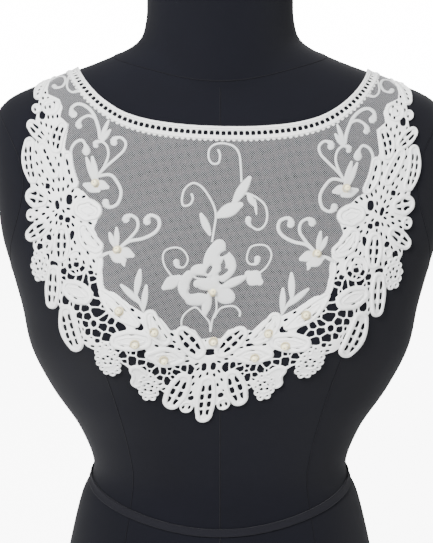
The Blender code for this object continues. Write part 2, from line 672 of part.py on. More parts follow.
def shape_loops(sheet, tolerance=EDGE_TOLERANCE):
    """A shape's outline and those of its gaps that are wide enough to be cut."""
    kept = []
    loops = sheet.traced()
    outline = max(loops, key=signed_area)
    kept.append(simplified(outline, tolerance))
    for loop in loops:
        area = signed_area(loop)
        if area < 0 and 4 * -area / perimeter(loop) >= SMALLEST_GAP:
            kept.append(simplified(loop, tolerance))
    return kept


def inside_loops(x, y, loops):
    """Whether a point lies inside the outline and outside its gaps."""
    inside = False
    for loop in loops:
        after = np.roll(loop, -1, axis=0)
        crosses = (loop[:, 1] > y) != (after[:, 1] > y)
        rise = np.where(crosses, after[:, 1] - loop[:, 1], 1.0)
        cut = loop[:, 0] + (y - loop[:, 1]) * (after[:, 0] - loop[:, 0]) / rise
        inside ^= bool(np.count_nonzero(crosses & (x < cut)) % 2)
    return inside


def distance_to_loops(x, y, loops):
    """The distance from a point to the nearest edge of the loops."""
    nearest = math.inf
    for loop in loops:
        after = np.roll(loop, -1, axis=0)
        way = after - loop
        long = np.sum(way * way, axis=1) + 1e-9
        t = np.clip(((x - loop[:, 0]) * way[:, 0] + (y - loop[:, 1]) * way[:, 1]) / long, 0, 1)
        away = np.hypot(x - loop[:, 0] - t * way[:, 0], y - loop[:, 1] - t * way[:, 1])
        nearest = min(nearest, float(away.min()))
    return nearest


def inner_points(loops, pitch, first=()):
    """Points inside a shape: the given ones, then an even triangular grid."""
    points = []
    for x, y in first:
        if inside_loops(x, y, loops) and distance_to_loops(x, y, loops) > 1.2:
            points.append((x, y))
    low, high = loops[0].min(0), loops[0].max(0)
    rows = np.arange(low[1] + pitch / 2, high[1], pitch * math.sqrt(3) / 2)
    for k, y in enumerate(rows):
        for x in np.arange(low[0] + pitch / 2 * (1 + k % 2), high[0], pitch):
            if any(math.dist((x, y), p) < pitch * 0.6 for p in points[-400:]):
                continue
            if inside_loops(x, y, loops) and distance_to_loops(x, y, loops) > pitch * 0.33:
                points.append((x, y))
    return points


def draped_plate(name, drape, loops, points, low, high):
    """A closed wall between two heights over a flat shape, laid on the form.

    The wall's inner side is plain, at the height low, and its outer side is at the
    height that the function high gives for each point.
    """
    flat = []
    edges = []
    for loop in loops:
        start = len(flat)
        flat += [Vector(p) for p in loop]
        edges += [(start + k, start + (k + 1) % len(loop)) for k in range(len(loop))]
    flat += [Vector(p) for p in points]
    places, _, faces = delaunay_2d_cdt(flat, edges, [], 0, 1e-5, False)[:3]
    plate = bmesh.new()
    verts = [plate.verts.new((p.x, p.y, 0)) for p in places]
    for face in faces:
        middle = sum((places[k] for k in face), Vector((0, 0))) / len(face)
        if inside_loops(middle.x, middle.y, loops):
            plate.faces.new([verts[k] for k in face])
    loose = [v for v in plate.verts if not v.link_faces]
    bmesh.ops.delete(plate, geom=loose, context="VERTS")
    raised = bmesh.ops.extrude_face_region(plate, geom=plate.faces[:])["geom"]
    outer = {v for v in raised if isinstance(v, bmesh.types.BMVert)}
    for vert in plate.verts:
        x, y = vert.co.x, vert.co.y
        height = high(x, y) if vert in outer else low
        vert.co = drape.at(*on_cloth(x, y), height)
    bmesh.ops.recalc_face_normals(plate, faces=plate.faces[:])
    bmesh.ops.triangulate(plate, faces=plate.faces[:])
    return finished_mesh(name, plate)


def neck_curve(offset, spacing=4.0):
    """The neck edge from the left shoulder to the right, moved down by an offset."""
    half = smooth_line(NECK_EDGE, spacing)
    whole = np.vstack([half[:0:-1] * (-1, 1), half])
    way = np.gradient(whole, axis=0)
    way /= np.hypot(way[:, 0], way[:, 1])[:, None]
    return whole + np.stack([way[:, 1], -way[:, 0]], 1) * offset


def band_sheet():
    """The neck band's flat shape."""
    sheet = Sheet()
    upper = [tuple(p) for p in neck_curve(0.0)]
    lower = [tuple(p) for p in neck_curve(NECK_BAND_WIDTH)]
    sheet.add_polygon(upper + lower[::-1])
    return sheet


def border_sheets():
    """The border's flat shape with its openings, and the field of its petals alone."""
    motifs = Sheet()
    for petal in BORDER_PETALS:
        motifs.add_petal(petal, mirrored=True, blunt=PETAL_BLUNT)
    for leaf in BORDER_LEAVES:
        motifs.add_petal(leaf, mirrored=True)
    for rosette in BORDER_ROSETTES:
        for side in (1, -1):
            spot = (side * rosette.x, rosette.y)
            motifs.add_chain([spot, spot], [rosette.radius, rosette.radius])
    border = Sheet()
    outer = GROUND_EDGE + [(-x, y) for x, y in GROUND_EDGE[-2::-1]]
    inner = [(-x, y) for x, y in INNER_EDGE] + INNER_EDGE[-2::-1]
    border.add_polygon(outer + inner)
    border.field = np.minimum(border.field, motifs.field)
    border.field = np.maximum(border.field, border.y - NECK_EDGE[-1][1])
    holes = Sheet()
    for opening in BORDER_OPENINGS:
        for side in (1, -1):
            turn = math.radians(opening.turn) * side
            dx, dy = border.x - side * opening.x, border.y - opening.y
            u = dx * math.cos(turn) + dy * math.sin(turn)
            v = dy * math.cos(turn) - dx * math.sin(turn)
            size = (np.abs(2 * u / opening.width) ** 2.6
                    + np.abs(2 * v / opening.height) ** 2.6) ** (1 / 2.6)
            hole = (size - 1) * min(opening.width, opening.height) / 2
            hole = np.maximum(hole, THINNEST_BAR - holes.field)
            holes.field = np.minimum(holes.field, hole)
    border.cut(holes.field)
    return border, motifs


def net_sheet(border_loops, band_loops):
    """The net insert's flat shape: what the border and the band leave open."""
    sheet = Sheet()
    inner = [(-x, y) for x, y in INNER_EDGE] + INNER_EDGE[-2::-1]
    top = [tuple(p) for p in neck_curve(NECK_BAND_WIDTH / 2)][::-1]
    sheet.add_polygon(inner + top)
    for loops in (border_loops[:1], band_loops[:1]):
        solid = Sheet()
        solid.add_polygon([tuple(p) for p in loops[0]])
        sheet.cut(solid.field, SEAM_GAP)
    sheet.field = np.maximum(sheet.field, sheet.y - NECK_EDGE[-1][1])
    return sheet


def embroidery_sheet(cords, petals, side):
    """The flat shape of one spray of embroidery, on one side of the centre."""
    sheet = Sheet()
    for cord in cords:
        points = [(side * x, y) for x, y in cord.points]
        sheet.add_cord(cord._replace(points=points), mirrored=False)
    for petal in petals:
        turned = petal._replace(root_x=side * petal.root_x, tip_x=side * petal.tip_x,
                                bulge=side * petal.bulge)
        sheet.add_petal(turned, mirrored=False)
    return sheet


def build_form(black, grey):
    """The dress form and its waist tape; gives the form's smooth surface."""
    form = form_bmesh()
    fine = form_bmesh(FINE_FACTOR)
    shell = Shell(form, fine)
    fine.free()
    add_object("dress_form", finished_mesh("dress_form", form), black)
    add_object("waist_tape", waist_tape_mesh(shell), grey)
    return shell


def build_border(drape, white):
    """The guipure border, raised where its petals are; gives its outline."""
    sheet, motifs = border_sheets()
    loops = shape_loops(sheet)
    spines = []
    for petal in BORDER_PETALS + BORDER_LEAVES:
        spine, _ = petal_spine(petal, LEAF_BLUNT, 3)
        for side in (1, -1):
            spines += [(side * x, y) for x, y in spine]
    points = inner_points(loops, LACE_PITCH, spines)

    def outer_height(x, y):
        depth = min(max(-motifs.value(x, y) / 5.0, 0), 1)
        return CLOTH_CLEARANCE + LACE_WALL + LACE_RELIEF * depth

    mesh = draped_plate("guipure_border", drape, loops, points, CLOTH_CLEARANCE, outer_height)
    add_object("guipure_border", mesh, white)
    return loops


def build_band(drape, white):
    """The ladder-stitched neck band with its two raised rails."""
    loops = [simplified(max(band_sheet().traced(), key=signed_area), 0.2)]
    rails = []
    for offset in (BAND_RAIL_WIDTH / 2, NECK_BAND_WIDTH / 2, NECK_BAND_WIDTH - 2.2):
        rails.append(neck_curve(offset, BAND_PITCH))
    points = [tuple(p) for rail in rails for p in rail[1:-1]]

    def outer_height(x, y):
        edge = distance_to_loops(x, y, loops)
        raised = 1.4 < edge < 3.6
        return CLOTH_CLEARANCE + BAND_WALL + (BAND_RELIEF if raised else 0.0)

    mesh = draped_plate("neck_band", drape, loops, points, CLOTH_CLEARANCE, outer_height)
    add_object("neck_band", mesh, white)
    return loops


def build_net(drape, border_loops, band_loops, net_white):
    """The net insert between border and neck band."""
    sheet = net_sheet(border_loops, band_loops)
    loops = shape_loops(sheet, NET_TOLERANCE)[:1]
    points = inner_points(loops, NET_PITCH)
    top = CLOTH_CLEARANCE + NET_WALL
    mesh = draped_plate("net_insert", drape, loops, points, CLOTH_CLEARANCE, lambda x, y: top)
    add_object("net_insert", mesh, net_white)
    return loops


def build_embroidery(drape, net_loops, white):
    """The raised embroidery that lies on the net, each spray in one piece."""
    sprays = [("centre_spray", CENTRE_CORDS, CENTRE_PETALS, 1)]
    for side, word in ((-1, "right"), (1, "left")):
        sprays.append((f"lower_spray_{word}", LOWER_SPRAY_CORDS, LOWER_SPRAY_PETALS, side))
        sprays.append((f"upper_spray_{word}", UPPER_SPRAY_CORDS, UPPER_SPRAY_PETALS, side))
        sprays.append((f"sprig_{word}", [], SPRIG_PETALS, side))
    low = CLOTH_CLEARANCE + NET_WALL + EMBROIDERY_GAP
    net = Sheet()
    net.add_polygon([tuple(p) for p in net_loops[0]])
    for name, cords, petals, side in sprays:
        sheet = embroidery_sheet(cords, petals, side)
        sheet.field = np.maximum(sheet.field, net.field + 0.5)
        loops = shape_loops(sheet)
        points = inner_points(loops, EMBROIDERY_PITCH)

        def outer_height(x, y, field=sheet):
            return low + EMBROIDERY_WALL * (0.7 + 0.3 * min(-field.value(x, y) / 2, 1))

        mesh = draped_plate(name, drape, loops, points, low, outer_height)
        add_object(name, mesh, white)


def main():
    """Build every piece."""
    clear_scene()
    black = cloth_material("form_cloth", FABRIC_BLACK)
    grey = cloth_material("waist_tape_cotton", TAPE_GREY)
    white = cloth_material("guipure_thread", LACE_WHITE)
    net_white = cloth_material("net_tulle", NET_WHITE)
    shell = build_form(black, grey)
    drape = Drape(shell)
    border_loops = build_border(drape, white)
    band_loops = build_band(drape, white)
    net_loops = build_net(drape, border_loops, band_loops, net_white)
    build_embroidery(drape, net_loops, white)


main()
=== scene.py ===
"""Looks of the guipure lace yoke on its limbless dress form.

The cloth is drawn flat, in millimetres, on a pattern sheet: x across from the centre
front, y up from the bust line. Each flat mesh is then draped over the form. Sizes on
the pattern are in millimetres, and everything in the scene is in metres.
"""
import logging
import math
from collections.abc import Callable, Iterable, Mapping, Sequence
from dataclasses import dataclass, field
from enum import Enum
from typing import NamedTuple

import bmesh
import bpy
import numpy as np
import numpy.typing as npt
from mathutils import Matrix, Vector
from mathutils.bvhtree import BVHTree


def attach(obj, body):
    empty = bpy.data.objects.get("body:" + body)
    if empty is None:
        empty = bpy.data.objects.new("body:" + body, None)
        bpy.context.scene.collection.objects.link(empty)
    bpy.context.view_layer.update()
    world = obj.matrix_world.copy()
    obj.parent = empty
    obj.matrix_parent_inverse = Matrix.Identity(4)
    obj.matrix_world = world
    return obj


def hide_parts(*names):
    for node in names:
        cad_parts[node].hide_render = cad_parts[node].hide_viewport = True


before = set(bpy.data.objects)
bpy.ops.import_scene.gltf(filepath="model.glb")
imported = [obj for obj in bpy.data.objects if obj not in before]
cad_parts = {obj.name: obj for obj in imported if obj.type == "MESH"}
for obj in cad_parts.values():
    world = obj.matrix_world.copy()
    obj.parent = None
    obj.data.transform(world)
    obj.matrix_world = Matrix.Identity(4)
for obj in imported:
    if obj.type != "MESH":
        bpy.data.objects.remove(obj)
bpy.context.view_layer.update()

logging.basicConfig(level=logging.INFO, format="%(name)s: %(message)s")
LOG = logging.getLogger("yoke")

FloatArray = npt.NDArray[np.float64]
Point = tuple[float, float]
Colour = tuple[float, float, float]
Inputs = Mapping[str | int, object]
MM = 0.001
BODY = "root"
TINY = 1e-9
BORDER_BLUNT = 0.80
FINE_SPINE = 12
EDGE_SPACING = 4.0
OPENING_POWER = 2.6


class Fill(Enum):
    """How the inside of a petal is worked."""

    LADDER = "two rows of slots beside a midrib"
    SINGLE = "one row of slots"
    CONTOUR = "closed, with a second line inside its rim"
    FLORET = "a small wheel of holes"
    PLAIN = "closed"


class SlotPlan(NamedTuple):
    """How slots are laid out in a petal; rows and share are parts of its width."""

    rows: tuple[float, ...]
    share: float
    extra: float
    length: float
    bar: float


SLOT_PLANS: dict[Fill, SlotPlan] = {
    Fill.LADDER: SlotPlan((-0.18, 0.18), 0.195, 0.0, 6.2, 1.25),
    Fill.SINGLE: SlotPlan((0.0,), 0.2, 0.0, 5.0, 1.4),
    Fill.CONTOUR: SlotPlan((-0.262, 0.262), 0.0, 1.35, 4.6, 3.4),
}


class Petal(NamedTuple):
    """A petal from root to tip, with its width and how far it bulges aside."""

    root_x: float
    root_y: float
    tip_x: float
    tip_y: float
    width: float
    bulge: float = 0.0
    fill: Fill = Fill.PLAIN
    blunt: float = 0.45

    def axes(self) -> tuple[FloatArray, FloatArray, FloatArray, float]:
        """Where the petal starts, which way it points and how long it is.

        Returns:
            The root, the unit vectors along and beside the petal, and its length.
        """
        root = np.array((self.root_x, self.root_y), float)
        span = np.array((self.tip_x, self.tip_y), float) - root
        length = float(np.linalg.norm(span))
        way = span / length
        return root, way, np.array((-way[1], way[0])), length


class Rosette(NamedTuple):
    """A round motif: its middle, radius, whether its inside is closed and has a ring."""

    x: float
    y: float
    radius: float
    closed: bool = False
    ringed: bool = True


class Opening(NamedTuple):
    """A rounded gap in the lace, turned by some degrees."""

    x: float
    y: float
    width: float
    height: float
    turn: float = 0.0

    def away(self, x: FloatArray, y: FloatArray) -> FloatArray:
        """How far points are from the gap's edge, negative inside.

        Args:
            x: Places across.
            y: Places up.

        Returns:
            The distances.
        """
        turn, power = math.radians(self.turn), OPENING_POWER
        dx, dy = x - self.x, y - self.y
        u = dx * math.cos(turn) + dy * math.sin(turn)
        v = dy * math.cos(turn) - dx * math.sin(turn)
        size = (np.abs(2 * u / self.width) ** power
                + np.abs(2 * v / self.height) ** power) ** (1 / power)
        return (size - 1) * min(self.width, self.height) / 2


class Cord(NamedTuple):
    """A stitched cord through some points, with its widths at start and end."""

    points: Sequence[Point]
    width: float
    end_width: float


class Ring(NamedTuple):
    """One level of the dress form."""

    half_width: float
    front: float
    back: float
    z_side: float
    z_front: float
    z_back: float
    squareness: float


BORDER_PETALS: tuple[Petal, ...] = tuple(Petal(*row) for row in (
    (150, 150, 151, 117, 14, 0, Fill.LADDER), (150.5, 128, 157, 93, 11, 2, Fill.SINGLE),
    (163.5, 71, 144, 56, 13, 0, Fill.LADDER), (129.5, 74, 136, 46, 14, 2, Fill.LADDER),
    (161.5, 58, 155, 20, 14, 3, Fill.LADDER), (150, 55, 133, 26, 12, 0, Fill.SINGLE),
    (126, 49, 116.5, 19, 11, 2, Fill.SINGLE), (163, 11, 140, 8, 18, 0, Fill.LADDER),
    (92.5, 1, 117, 4, 19, 0, Fill.CONTOUR), (138, -10, 160.5, -24, 14, 0, Fill.LADDER),
    (126, -11, 125, -41, 16, 0, Fill.LADDER), (111, -9, 91, -31, 15, 2, Fill.CONTOUR),
    (145.5, -31, 145, -58.5, 19, 0, Fill.FLORET), (131, -43, 132, -79, 15, 0, Fill.LADDER),
    (122.5, -58, 95, -68.5, 18, 0, Fill.CONTOUR), (119.5, -74, 105, -111.5, 18, 2, Fill.LADDER),
    (85, -101, 73, -132.5, 21, 0, Fill.FLORET), (78, -100, 45.5, -97, 17, 0, Fill.CONTOUR),
    (51.5, -75, 33, -100, 14, 2, Fill.CONTOUR), (57, -119, 54, -142, 14, -3),
    (46.5, -125, 45.5, -153, 19, 0, Fill.FLORET), (5, -110, 27, -87, 17, 0, Fill.LADDER),
    (17, -123, 29.5, -156, 18, 0, Fill.LADDER), (0, -126, 0, -168.5, 17, 0, Fill.LADDER),
))
BORDER_LEAVES: tuple[Petal, ...] = tuple(Petal(*row) for row in (
    (91, -32, 91, -50, 6), (91.5, -46, 87.5, -64, 5), (89.5, -60, 56, -87.5, 14, 2, Fill.CONTOUR),
    (50.5, -109, 18.5, -111, 17, 0, Fill.CONTOUR),
))

BORDER_ROSETTES: tuple[Rosette, ...] = (
    Rosette(155.6, 83, 4.8), Rosette(142.5, 86, 8.5), Rosette(155.8, -5, 5.0),
    Rosette(127.7, 3, 15.0, ringed=False), Rosette(138, -28, 4.5), Rosette(110.3, -40, 10.5),
    Rosette(91.8, -87, 4.5), Rosette(14.8, -153, 5.4),
    Rosette(0, -106, 9.0, closed=True, ringed=False), Rosette(9, -119, 9.0, ringed=False),
)

GROUND_EDGE: tuple[Point, ...] = (
    (156, 150), (156, 118), (154.5, 92), (155, 79), (157, 63), (154, 57), (159, 38),
    (158, 19), (155, 1), (153, -10), (153, -30), (139, -57), (125, -75), (110, -95),
    (97, -106), (80, -112), (65, -120), (52, -132), (35.5, -140), (19.5, -151),
    (9.5, -153), (0, -155),
)

INNER_EDGE: tuple[Point, ...] = (
    (145, 150), (148, 110), (146.5, 100), (135, 94), (131.5, 86), (133, 77),
    (124.8, 71), (127.5, 52), (121.8, 38), (117, 21), (110, 17.5), (103.5, 12),
    (96, 8), (94, 0), (98.5, -12), (92, -23), (89.6, -30), (91, -36), (88.5, -46),
    (86.5, -57), (84.5, -61), (77, -62.5), (64.3, -71.5), (54.5, -76.5), (47.3, -76),
    (39, -81), (32, -89), (26, -88), (20, -86), (13, -88.5), (7.2, -95.5), (0, -94.5),
)

BORDER_OPENINGS: tuple[Opening, ...] = tuple(Opening(*row) for row in (
    (149.7, 77.5, 6, 8), (136.8, 41, 4, 6, 25), (141.5, 19.5, 5, 5), (121.2, 10, 6, 8.5),
    (131.7, 5, 4.2, 7.5, -15), (127.6, -5, 4.5, 5), (121.6, -6.5, 5, 5),
    (137.5, -21.5, 5, 5.5, -30), (146, -29.8, 6, 6.5, 20), (117, -18.5, 4.3, 8, 12),
    (138, -37, 4.2, 5.5), (131.5, -42.5, 8, 5, 15), (114.3, -49.8, 6.5, 5.2),
    (107.2, -51.2, 5.8, 5.2), (101.9, -53.5, 4.2, 7.2, -8), (96.2, -52.2, 5, 4.2),
    (92.6, -61, 5, 10, -20), (118.6, -70, 7, 8), (92.2, -70.7, 8, 5.4, 8), (89.6, -78, 9, 5.6, 5),
    (100.6, -76, 5.4, 4.2), (98, -81.5, 5.4, 5.2, 20), (99.4, -88, 4.4, 4.4),
    (83.6, -83, 5.6, 4.2, -30), (78.4, -85.3, 5.2, 4.3, 30), (84.2, -89.3, 6.6, 5.4),
    (76.8, -91, 5.6, 5, 20), (71, -88.8, 6.6, 4.2, 25), (89.3, -94.6, 7, 5.8),
    (80.4, -97.2, 7.2, 6), (80.2, -103.6, 7.6, 4.2), (105.3, -93.5, 4.2, 7, -25),
    (103.2, -99.2, 4.6, 4.4), (116.7, -83.8, 4.2, 7, -8), (82.6, -69, 4.2, 5.2, -35),
    (55.4, -87.8, 5.2, 5.8, -35), (53.2, -108.8, 6, 6.6), (59.6, -115.2, 6, 7.2),
    (50.6, -123.4, 4.6, 6.4), (41.2, -123, 5, 6.2, 20), (35.2, -121.8, 4.2, 5.2, -20),
    (24, -123, 7.4, 4.6, 25), (31.8, -131, 5, 7), (31.4, -101.6, 7, 4.2), (11.9, -145, 4.8, 4.6),
    (13.6, -119.6, 4.4, 6.4), (3.7, -118.6, 4.4, 7), (4.2, -143.8, 4.2, 6.2),
    (4.2, -151.6, 4.2, 7), (0, -106.4, 9.5, 5.4),
))

OPEN_GROUND: tuple[tuple[Point, float], ...] = (
    ((114, -50), 9.0), ((98, -62), 15.0), ((88, -80), 17.0), ((72, -95), 15.0),
    ((54, -112), 11.0), ((34, -123), 8.0), ((16, -121), 6.0),
)
FLOWER_CORES: tuple[Point, ...] = ((127.7, 3), (0, -112), (-127.7, 3))

CENTRE_SEAM: tuple[Point, ...] = ((0, 530), (0, 400), (0, 250), (0, 130), (0, 3))
PANEL_SEAM: tuple[Point, ...] = (
    (158, 425), (136, 385), (112, 352), (97, 325), (84, 275), (75, 229), (73, 200),
    (80, 150), (88, 80), (90, 3),
)
TAPE_PROFILE: tuple[Point, ...] = (
    (-0.5, 0.2), (-0.5, 1.0), (-0.40, 1.2), (-0.30, 0.95), (0.0, 0.9), (0.30, 0.95),
    (0.40, 1.2), (0.5, 1.0), (0.5, 0.2),
)

NECK_EDGE: tuple[Point, ...] = (
    (0, 72.5), (25, 73.3), (50, 76), (70, 80.5), (85, 87), (99, 97.5), (109, 109),
    (116, 121), (120.5, 134), (123, 150),
)

CENTRE_CORDS: tuple[Cord, ...] = (
    Cord([(-4.5, -20), (-3.5, -10), (-2.7, 0), (-4.5, 8), (-9.5, 17), (-15.5, 24),
          (-22, 26.5), (-28, 22), (-30, 14), (-28.5, 8.5), (-23.5, 9.5),
          (-21.5, 14), (-23, 18.5)], 2.2, 2.0),
    Cord([(16, 28), (15, 40), (13.5, 50), (9.5, 56), (2.5, 58.5), (-5, 58), (-10, 54),
          (-10.5, 47), (-7.5, 42.5), (-2.7, 43), (-1.6, 49), (-3.5, 54)], 2.2, 2.0),
    Cord([(11.5, 14), (18.5, 19), (26.5, 17), (34.5, 11), (37.3, 3), (36.3, -5),
          (31.3, -9.5), (25.3, -7), (22.8, -3), (23.5, 1)], 2.2, 5.0),
    Cord([(-33, -49), (-40, -40), (-42, -32), (-39.5, -27), (-32, -25), (-26, -27.5),
          (-22.5, -34), (-25, -40), (-30, -39.5), (-32, -34)], 1.8, 5.0),
    Cord([(31, -46), (39, -39), (42.5, -30), (39, -23), (32, -21.5), (25.5, -24),
          (23.5, -32), (26, -36.5), (31, -36), (32, -30)], 1.8, 5.0),
    Cord([(-24, -85), (-24, -80), (-21, -75), (-14, -71), (-7, -77), (-2, -83),
          (-1, -90)], 1.8, 1.8),
    Cord([(1, -60), (2.5, -72), (0, -80), (-1, -90)], 1.8, 1.8),
    Cord([(1, -79), (5, -72), (11, -69.7), (17, -70), (21, -74), (21, -78)], 1.8, 1.8),
)
FLOWER_PETALS: tuple[Petal, ...] = (
    Petal(-7, -45, 3, -18, 15, blunt=0.7), Petal(7, -26, 6, -51, 8.5, 5, blunt=0.7),
    Petal(-1, -45, -20, -42.5, 13, blunt=0.8), Petal(-21, -42.5, -20, -67, 9, -4, blunt=0.8),
    Petal(-22.5, -65.5, -4, -64, 10, blunt=0.8), Petal(-17, -52.5, 4, -54, 9, blunt=0.7),
    Petal(-4, -59, -6.8, -78, 7.5), Petal(0, -58, 16, -64.5, 13, blunt=0.8),
    Petal(4, -56, 25, -46, 7), Petal(1, -35, -1, -56, 8, blunt=0.7),
    Petal(-5, -58, 8, -56, 9, blunt=0.8),
)
FLOWER_SLITS: tuple[Opening, ...] = (
    Opening(5.6, -28.6, 7.4, 3.2, 32), Opening(5.8, -43.2, 8.6, 3.4, 35),
    Opening(-5.2, -41.6, 3.0, 7.0, -28), Opening(-11.0, -47.2, 9.6, 1.9, -4),
    Opening(-16.2, -58.2, 8.6, 4.6, 12),
)
CENTRE_PETALS: tuple[Petal, ...] = tuple(Petal(*row) for row in (
    (23, -43, 37, -52, 13), (-27, -47, -41, -58, 10), (-20, -50, -31, -49, 6),
    (-6, -15, -15, 3, 6), (-3, 0, 18, 11, 11), (10, 10, 23, 33, 8), (21, 19.5, 27, 9, 5),
    (27, 15, 29, 2, 2.4),
))
LOWER_SPRAY_CORDS: tuple[Cord, ...] = (
    Cord([(76, -27), (68, -18), (63.5, -11), (64, -4), (69, -0.5), (73, -3), (71, -6)],
         3.0, 6.0),
    Cord([(76, -27), (69, -21.5), (59, -19), (50, -14), (46.5, -8), (48, -2), (54, 0),
          (56.5, -4), (54, -7)], 3.4, 6.0),
)
LOWER_SPRAY_PETALS: tuple[Petal, ...] = tuple(Petal(*row) for row in (
    (78, -27, 80, -10, 4.5), (80, -27, 85.5, -14.5, 4.5), (82, -30, 94, -36, 3.0),
    (84, -31, 70, -38, 10), (78, -28, 64, -33.5, 9), (74, -34, 71, -42, 4),
))
UPPER_SPRAY_CORDS: tuple[Cord, ...] = (
    Cord([(97.5, 60), (99.5, 70), (104.5, 81), (111, 87.5), (118, 89.5), (123, 85.5),
          (122, 80), (118, 79.5)], 3.8, 7.0),
    Cord([(102, 77), (108, 79), (114, 76), (116.5, 71), (113.5, 68.5)], 3.0, 5.5),
    Cord([(98, 30), (93, 38.5), (90.2, 47), (91.5, 54), (96, 58), (101, 56.5),
          (100, 52.5)], 2.6, 4.5),
    Cord([(97, 32), (90.5, 39), (83, 46), (77.6, 52), (76.6, 58), (81, 62), (86, 60),
          (85.5, 55)], 2.8, 6.0),
    Cord([(98, 30), (88, 31.5), (82, 26), (78.3, 18), (80.3, 9), (86, 5.5), (90, 8),
          (89.5, 12)], 3.2, 6.0),
    Cord([(121, 42), (121.5, 50), (118, 56), (112.5, 58), (109, 53), (108.5, 46)],
         3.0, 7.5),
    Cord([(146, 121), (141, 126.5), (134.5, 124), (131.5, 116), (134, 108.5), (140, 107.5),
          (142.5, 112)], 3.2, 5.0),
    Cord([(126, 143), (127.5, 130), (129.5, 118), (129, 107), (124, 101.5), (116.5, 104)],
         2.6, 3.4),
)
UPPER_SPRAY_PETALS: tuple[Petal, ...] = tuple(Petal(*row) for row in (
    (97.5, 58, 91, 76.5, 4), (97, 57, 89, 68.5, 4.5), (100, 24, 108.5, 45, 5),
    (98, 24, 103.5, 46, 5.5), (110, 23, 95, 18, 8), (101, 25, 88, 21, 8),
))
SPRIG_PETALS: tuple[Petal, ...] = tuple(Petal(*row) for row in (
    (57, -70, 73, -56, 5), (60.5, -65, 58.7, -43, 5.5), (53, -77, 61, -62, 2.4),
    (54, -76, 53, -55, 5),
))

PEARLS: tuple[Point, ...] = (
    (-99.5, 24), (99.5, 24), (-77.5, -29), (77.5, -29), (-72, -77), (72, -77),
    (-45, -91), (45, -91), (-58.5, -101), (58.5, -101), (-36, -112), (36, -112),
    (-1.2, -58.5), (1.8, -97.5),
)

RINGS: tuple[Ring, ...] = tuple(Ring(*row) for row in (
    (146, 108, 116, 0, 0, 0, 2.25), (148, 109, 118, 45, 45, 45, 2.25),
    (140, 103, 112, 100, 100, 100, 2.25), (131, 96, 101, 143, 143, 143, 2.2),
    (123, 89, 90, 172, 172, 172, 2.15), (112, 84, 81, 200, 200, 200, 2.15),
    (124, 89, 86, 237, 237, 237, 2.2), (147, 98, 93, 274, 274, 274, 2.3),
    (164, 104, 100, 310, 310, 310, 2.35), (171, 106, 105, 346, 346, 346, 2.35),
    (180, 102, 107, 381, 381, 381, 2.35), (187, 96, 107, 410, 408, 408, 2.35),
    (191, 86, 105, 458, 442, 442, 2.3), (191, 77, 99, 496, 474, 480, 2.25),
    (179, 70, 90, 519, 495, 507, 2.15), (141, 64, 79, 536, 510, 530, 2.05),
    (98, 60, 70, 552, 523, 549, 2.0), (70, 58, 64, 566, 534, 562, 2.0),
    (62, 57, 62, 584, 560, 580, 2.0), (61, 56, 61, 612, 604, 608, 2.0),
    (60, 56, 60, 640, 640, 640, 2.0),
))


def smooth_rows(rows: Sequence[Sequence[float]], count: int) -> FloatArray:
    """Values between named rows on a smooth curve.

    Args:
        rows: The rows that the curve goes through.
        count: How many rows to give.

    Returns:
        One array row for each level.
    """
    table = np.array(rows, float)
    last = len(table) - 1
    slopes = np.empty_like(table)
    slopes[1:-1] = (table[2:] - table[:-2]) / 2
    slopes[0] = table[1] - table[0]
    slopes[-1] = table[-1] - table[-2]
    place = np.linspace(0, last, count)
    low = np.clip(place.astype(int), 0, last - 1)
    f = (place - low)[:, None]
    return (
        (2 * f**3 - 3 * f**2 + 1) * table[low]
        + (f**3 - 2 * f**2 + f) * slopes[low]
        + (3 * f**2 - 2 * f**3) * table[low + 1]
        + (f**3 - f**2) * slopes[low + 1]
    )


def run_along(line: FloatArray) -> FloatArray:
    """The distance from the start of a line to each of its points.

    Args:
        line: The points, one in each row.

    Returns:
        The distances.
    """
    return np.concatenate([[0], np.cumsum(np.hypot(*np.diff(line, axis=0).T))])


def spots_along(line: FloatArray, places: FloatArray) -> FloatArray:
    """Points at some distances from the start of a line.

    Args:
        line: The points of the line.
        places: The distances.

    Returns:
        The points, one in each row.
    """
    run = run_along(line)
    return np.stack([np.interp(places, run, line[:, k]) for k in (0, 1)], 1)


def even_line(points: Sequence[Point] | FloatArray, spacing: float) -> FloatArray:
    """Points along a smooth curve through the given ones, about evenly spaced.

    Args:
        points: Points that the curve goes through.
        spacing: The wanted distance between two points, in millimetres.

    Returns:
        The points, one in each row.
    """
    fine = smooth_rows(points, max(len(points) * 8, 16))
    length = run_along(fine)[-1]
    return spots_along(fine, np.linspace(0, length, max(int(length / spacing) + 1, 3)))


def ways_along(line: FloatArray) -> FloatArray:
    """The direction of a line at each of its points.

    Args:
        line: The points of the line.

    Returns:
        Unit vectors, one in each row.
    """
    way = np.gradient(line, axis=0)
    return way / np.hypot(way[:, 0], way[:, 1])[:, None]


def left_of(way: FloatArray) -> FloatArray:
    """Directions turned a quarter to the left.

    Args:
        way: The directions, one in each row.

    Returns:
        The turned directions.
    """
    return np.stack([-way[:, 1], way[:, 0]], 1)


def stroke(x: FloatArray, y: FloatArray, start: Sequence[float], end: Sequence[float],
           near: float = 0.0, far: float = 0.0) -> tuple[FloatArray, FloatArray, float]:
    """How far places are from a round-ended stroke whose half width changes along it.

    Args:
        x: Places across.
        y: Places up.
        start: Where the stroke starts.
        end: Where it ends.
        near: Its half width at the start.
        far: Its half width at the end.

    Returns:
        The distances, negative inside, how far along the places are, and the length.
    """
    dx, dy = end[0] - start[0], end[1] - start[1]
    square = dx * dx + dy * dy + TINY
    ahead = ((x - start[0]) * dx + (y - start[1]) * dy) / square
    t = np.clip(ahead, 0, 1)
    away = np.hypot(x - start[0] - t * dx, y - start[1] - t * dy) - near - t * (far - near)
    length = math.sqrt(square)
    return away, ahead * length, length


